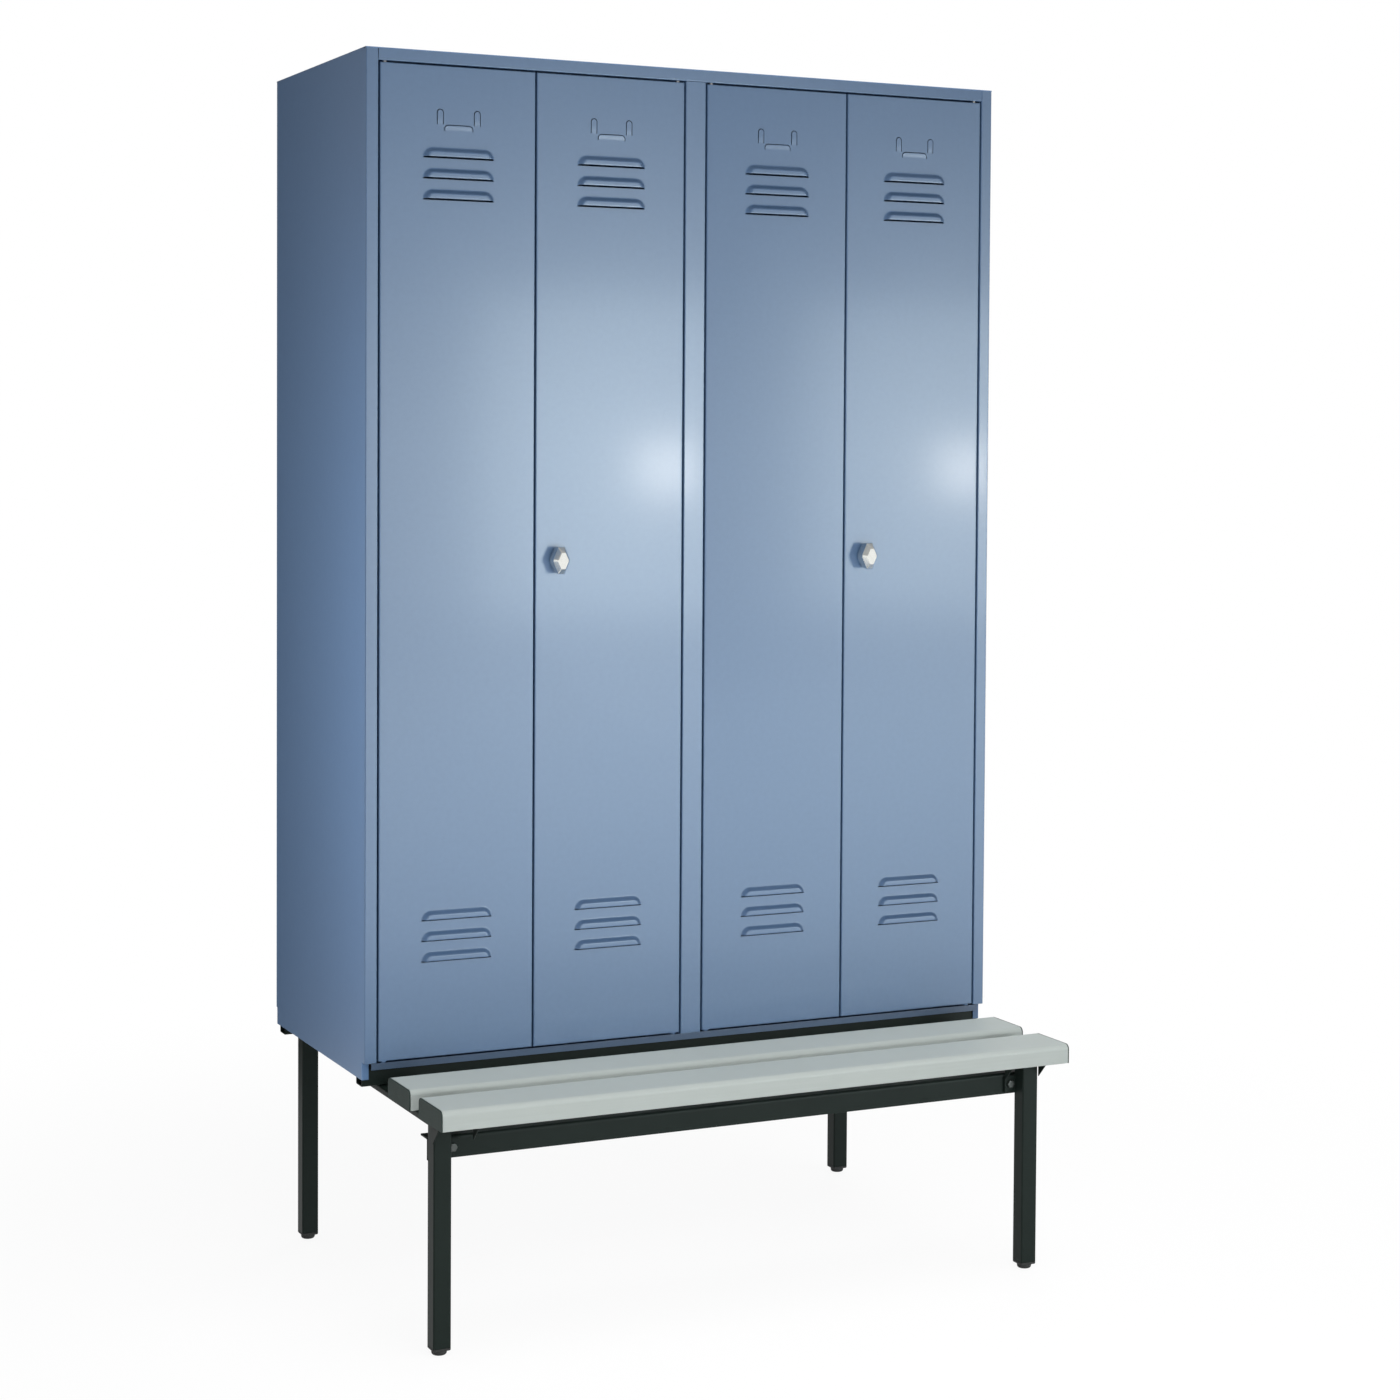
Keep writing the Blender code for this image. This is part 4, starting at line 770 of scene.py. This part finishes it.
# The slit of a louvre lies between its rows 1 and 2, which meet where the hood runs out.
def louvre(bm, slot_z):
    half, rows = LOUVRE_WIDE / 2, []
    xs = [-half - LOUVRE_SIDE] + [-half + LOUVRE_END * t / HOOD_END_STEPS for t in range(HOOD_END_STEPS + 1)]
    xs += [0.0] + [-x for x in xs[::-1]]
    levels = [-LOUVRE_MARGIN, 0.0] + [LOUVRE_GAP / LOUVRE_HIGH + rise for rise in LIP_RISES]
    levels += [*HOOD_RISES, 1 + LOUVRE_MARGIN]
    for j, level in enumerate(levels):
        row = []
        for x in xs:
            past = max(0.0, (abs(x) - half + LOUVRE_END) / LOUVRE_END)
            t = min(1.0, max(0.0, (1 - sqrt(past * past + max(level, 0) ** 2)) / LOUVRE_SLOPE_SHARE))
            lift = LOUVRE_REACH * smooth(t) if j > 1 else 0.0
            lift -= LOUVRE_CURL * t * LIP_CURLS.get(j, 0.0)
            if j == 2 and lift < SLIT_CLOSED:
                row.append(rows[1][len(row)])
            else:
                row.append(bm.verts.new((x, -lift, slot_z + level * LOUVRE_HIGH)))
        rows.append(row)
    for j in [j for j in range(len(levels) - 1) if j != 1]:
        for i in range(len(xs) - 1):
            bm.faces.new((rows[j][i], rows[j][i + 1], rows[j + 1][i + 1], rows[j + 1][i]))
    return border_edges(bm, rows[0] + [row[-1] for row in rows[1:]] + rows[-1][-2::-1] +
                        [row[0] for row in rows[-2:0:-1]])


def tongue(bm, middle_x, root_z, wide, long, corner):
    half, straight = wide / 2, long - corner
    rounding = quarter_round(0, 8)
    levels = [straight * t / TONGUE_STEPS for t in range(TONGUE_STEPS)]
    levels += [straight + corner * out for fall, out in rounding]
    rows = []
    for up in levels:
        past = max(0.0, up - straight)
        reach_x = half - corner + sqrt(max(0.0, corner ** 2 - past ** 2)) + TONGUE_SPARE
        lift = TONGUE_REACH * smooth(min(1.0, up / TONGUE_BEND))
        rows.append([bm.verts.new((middle_x + reach_x * share, -lift, root_z + up)) for share in TONGUE_ACROSS])
    for row, after in zip(rows, rows[1:]):
        for i in range(len(row) - 1):
            bm.faces.new((row[i], row[i + 1], after[i + 1], after[i]))
    cut = corner + TONGUE_SLIT
    arch = [(half - corner + cut * (1 - fall), straight + cut * out) for fall, out in rounding]
    around = [(half + TONGUE_SLIT, 0)] + arch + [(-x, z) for x, z in arch[::-1]] + [(-half - TONGUE_SLIT, 0)]
    gaps = [(Vector(point) - Vector(before)).length for before, point in zip(around, around[1:])]
    around = around[:1] + [point for point, gap in zip(around[1:], gaps) if gap > ONE_POINT]
    return border_edges(bm, rows[0] + [bm.verts.new((middle_x + x, 0, root_z + z)) for x, z in around])


def rectangle(bm, grown, depth):
    x0, x1 = -LEAF_WIDE / 2 + FOLD - grown, LEAF_WIDE / 2 - FOLD + grown
    z0, z1 = FOLD - grown, LEAF_HIGH - FOLD + grown
    return [bm.verts.new(point) for point in ((x0, depth, z0), (x1, depth, z0), (x1, depth, z1), (x0, depth, z1))]


leaf = bmesh.new()
borders = []
for i in range(3):
    borders += louvre(leaf, LEAF_HIGH - LOUVRES_FROM_TOP - i * LOUVRE_PITCH)
    borders += louvre(leaf, LOUVRES_FROM_END + i * LOUVRE_PITCH)
root_z = LEAF_HIGH - FINGERS_FROM_TOP - FINGER_LONG
for side in (-1, 1):
    borders += tongue(leaf, side * FINGER_APART / 2, root_z, FINGER_WIDE, FINGER_LONG, FINGER_WIDE / 2)
borders += tongue(leaf, 0, root_z - POCKET_BELOW, POCKET_WIDE, POCKET_HIGH, POCKET_CORNER)
rows = [rectangle(leaf, -FACE_BORDER, 0), rectangle(leaf, 0, 0)]
borders += border_edges(leaf, rows[0])
for fall, out in quarter_round(1, FOLD_STEPS):
    rows.append(rectangle(leaf, FOLD * out, FOLD * fall))
for fall, out in quarter_round(0, FOLD_STEPS):
    rows.append(rectangle(leaf, FOLD * (1 - fall), LEAF_THICK - FOLD * (1 - out)))
rows.append(rectangle(leaf, FOLD - RETURN, LEAF_THICK))
for row, after in zip(rows, rows[1:]):
    for i in range(4):
        leaf.faces.new((row[i], after[i], after[(i + 1) % 4], row[(i + 1) % 4]))
bmesh.ops.triangle_fill(leaf, use_beauty=True, edges=borders, normal=(0, -1, 0))
bmesh.ops.recalc_face_normals(leaf, faces=leaf.faces[:])
if max(leaf.faces, key=lambda f: f.calc_area() * abs(f.normal.y)).normal.y > 0:
    bmesh.ops.reverse_faces(leaf, faces=leaf.faces[:])
leaf_mesh = settled("door_leaf", leaf, ("SOLIDIFY", {"thickness": SHEET, "offset": -1.0, "use_even_offset": True}))

hat = [(-STIFFENER_BRIM, SHEET), (-STIFFENER_HAT, SHEET), (-STIFFENER_HAT, STIFFENER_DEEP),
       (STIFFENER_HAT, STIFFENER_DEEP), (STIFFENER_HAT, SHEET), (STIFFENER_BRIM, SHEET)]
stiffener_low = LOUVRES_FROM_END + 2 * LOUVRE_PITCH + LOUVRE_HIGH + STIFFENER_CLEAR
stiffener_high = LEAF_HIGH - LOUVRES_FROM_TOP - 2 * LOUVRE_PITCH - STIFFENER_CLEAR
stiffener = bmesh.new()
drawn(stiffener, bent(hat, SHEET), "Z", stiffener_low, stiffener_high)
stiffener_mesh = closed("stiffener", stiffener, eased(STIFFENER_EDGE, 1))
for number in (1, 2, 3, 4):
    body = "door_%d" % number
    low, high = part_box(body + "_panel")
    spot = ((low.x + high.x) / 2, FRONT_Y, DOOR_LOW_Z)
    piece = dress(body + "_leaf", leaf_mesh, door_blue, body, "door_blue", body + "_panel", at=spot)
    unlit_by(piece, "overhead", "right_pair" if number < 3 else "left_pair")
    dress(body + "_stiffener", stiffener_mesh, door_blue, body, "door_blue", at=spot)
    rod_low, rod_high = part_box("hinge_rod_%d" % number)
    rod_spot = ((rod_low.x + rod_high.x) / 2, (rod_low.y + rod_high.y) / 2, DOOR_LOW_Z)
    collar = bmesh.new()
    turned(collar, rod_spot, "Z", COLLAR, sides=32, ring=True)
    dress(body + "_collar", closed("collar", collar), door_blue, body, "door_blue")

# Locks: a bright die-cast knob with six long facets on a turned rose, a pressed zinc-plated housing behind
# the door, and a flat zinc-plated bolt riveted to the spindle. The rose's barrel goes through the door.
KNOB_WIDE, KNOB_LONG = 0.030, 0.046
KNOB_TIP, KNOB_FLANK = 0.006, 0.003
KNOB_NECK, KNOB_FOOT, KNOB_SHOULDER = 0.0003, 0.0025, 0.023
KNOB_SHARES = (0.86, 0.92, 1.0, 0.60)
KNOB_EDGE = 0.0011
SPINDLE_RADIUS, SPINDLE_IN = 0.0045, 0.001
RIVET_RADIUS, RIVET_SPARE = 0.006, 0.0002
RIVET_SEAT, RIVET_RIM = 0.0003, 0.0005
ROSE_CROWN = ((0, 0.0098), (0.0004, 0.0109), (0.0010, 0.0115))
ROSE_RADIUS, ROSE_GAP = 0.0115, 0.0003
BARREL_RADIUS, BARREL_BORE = 0.008, 0.0048
HOUSING_EDGE, LOCK_BOLT_EDGE = 0.0016, 0.0005
CASTING_GREY, CASTING_WHITE = (0.78, 0.79, 0.75), (0.90, 0.91, 0.87)

bright = Finish("bright_casting")
bright.metal = True
bright_haze = bright.cloud(120.0)
bright.coat(Base_Color=bright.blend(CASTING_GREY, CASTING_WHITE, bright_haze), Metallic=1.0,
            Roughness=0.08 + 0.10 * bright_haze, Normal=bright.bump(bright.cloud(260.0, detail=2.0), 0.00003))


def knob_outline(share):
    right = [(KNOB_TIP, -KNOB_LONG / 2), (KNOB_WIDE / 2, -KNOB_FLANK), (KNOB_WIDE / 2, KNOB_FLANK),
             (KNOB_TIP, KNOB_LONG / 2)]
    return [(x * share, z * share) for x, z in right + [(-x, z) for x, z in right[::-1]]]


for side_name, door, body in (("left", "door_2", "lock_left"), ("right", "door_4", "lock_right")):
    low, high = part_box("knob_" + side_name)
    knob_x, knob_z = (low.x + high.x) / 2, (low.z + high.z) / 2
    barrel_low, barrel_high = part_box("lock_barrel_" + side_name)
    bolt_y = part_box("lock_bolt_" + side_name)[1].y
    rose_y, rose_foot = barrel_low.y, FRONT_Y - ROSE_GAP

    depths = (rose_y - KNOB_NECK, rose_y - KNOB_FOOT, FRONT_Y - KNOB_SHOULDER, low.y)
    knob_mesh = bmesh.new()
    join(knob_mesh, [[(knob_x + x, depth, knob_z + z) for x, z in knob_outline(share)]
                     for depth, share in zip(depths, KNOB_SHARES)])
    knob_mesh = closed("knob", knob_mesh, eased(KNOB_EDGE, 4))
    dress("knob_%s_casting" % side_name, knob_mesh, bright, body, "bright_zinc", "knob_" + side_name)

    dome_y = bolt_y + RIVET_RIM
    rivet = [(bolt_y + RIVET_SEAT, SPINDLE_RADIUS), (bolt_y + RIVET_SEAT, RIVET_RADIUS)]
    rivet += [(dome_y + (high.y - dome_y) * out, RIVET_RADIUS * (1 - fall) + RIVET_SPARE)
              for fall, out in quarter_round(0, 5)]
    spindle_mesh = bmesh.new()
    turned(spindle_mesh, (knob_x, 0, knob_z), "Y", [(rose_y - SPINDLE_IN, SPINDLE_RADIUS)] + rivet, sides=32)
    dress("spindle_" + side_name, closed("spindle", spindle_mesh), zinc, body, "bright_zinc")

    profile = [(rose_y + up, radius) for up, radius in ROSE_CROWN]
    profile += [(rose_foot, ROSE_RADIUS), (rose_foot, BARREL_RADIUS), (barrel_high.y, BARREL_RADIUS),
                (barrel_high.y, BARREL_BORE), (rose_y, BARREL_BORE)]
    barrel_mesh = bmesh.new()
    turned(barrel_mesh, (knob_x, 0, knob_z), "Y", profile, sides=48, ring=True)
    barrel_mesh = closed("rose", barrel_mesh)
    dress("rose_" + side_name, barrel_mesh, bright, door, "bright_zinc", "lock_barrel_" + side_name)
    broken_edges("lock_housing_" + side_name, zinc, door, "zinc", HOUSING_EDGE, 3)
    broken_edges("lock_bolt_" + side_name, zinc, body, "zinc", LOCK_BOLT_EDGE)

# Bench slats: hollow extruded plastic in pale grey with rounded upper edges, faintly streaked along their
# length, screwed to the arms from below. Each end is closed by a dark moulded cap.
SLAT_ROUND = 0.009
SLAT_UNDER_ROUND = 0.0015
SLAT_STEPS = 8
CAP_DEEP = 0.002
CAP_EDGE = 0.0004
SLAT_GREY, SLAT_PALE = (0.405, 0.447, 0.428), (0.470, 0.513, 0.494)
CAP_DARK, CAP_LIGHT = (0.017, 0.030, 0.026), (0.029, 0.045, 0.040)
ALONG = (0.02, 1.0, 1.0)

pale = Finish("slat_plastic")
streak = pale.cloud(260.0, stretch=ALONG)
slat_waves = pale.bump(pale.cloud(5.0, detail=1.0), 0.0006)
pale.coat(Base_Color=pale.blend(SLAT_GREY, SLAT_PALE, 0.6 * streak + 0.4 * pale.cloud(6.0)),
          Roughness=0.36 + 0.12 * streak, Normal=pale.bump(streak, 0.00004, slat_waves), Specular_IOR_Level=0.12)
dark = Finish("cap_plastic")
spark = dark.cloud(1300.0, detail=2.0)
dark.coat(Base_Color=dark.blend(CAP_DARK, CAP_LIGHT, dark.cloud(45.0, detail=4.0)),
          Roughness=0.42 + 0.2 * spark, Normal=dark.bump(spark, 0.00005), Specular_IOR_Level=0.12)


def slat_outline(low, high):
    front, rear = low.y + SLAT_UNDER_ROUND, high.y - SLAT_UNDER_ROUND
    under, over = low.z + SLAT_UNDER_ROUND, high.z - SLAT_ROUND
    corners = ((front, under, 270, SLAT_UNDER_ROUND), (low.y + SLAT_ROUND, over, 180, SLAT_ROUND),
               (high.y - SLAT_ROUND, over, 90, SLAT_ROUND), (rear, under, 0, SLAT_UNDER_ROUND))
    points = []
    for y, z, start, radius in corners:
        for step in range(SLAT_STEPS + 1):
            turn = radians(start - 90 * step / SLAT_STEPS)
            points.append((y + radius * cos(turn), z + radius * sin(turn)))
    return points


for place in ("front", "rear"):
    name = "bench_slat_" + place
    low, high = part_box(name)
    slat_mesh = bmesh.new()
    drawn(slat_mesh, slat_outline(low, high), "X", low.x, high.x)
    piece = dress(name + "_section", closed(name, slat_mesh), pale, "cabinet", "slat_plastic", name)
    unlit_by(piece, "fill")
    for side_name, side in (("left", -1), ("right", 1)):
        name = "slat_cap_%s_%s" % (place, side_name)
        cap_low, cap_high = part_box(name)
        outer_x = side * max(abs(cap_low.x), abs(cap_high.x))
        cap_mesh = bmesh.new()
        drawn(cap_mesh, slat_outline(cap_low, cap_high), "X", outer_x, outer_x - side * CAP_DEEP)
        dress(name + "_moulding", closed(name, cap_mesh, eased(CAP_EDGE)), dark, "cabinet", "cap_plastic", name)
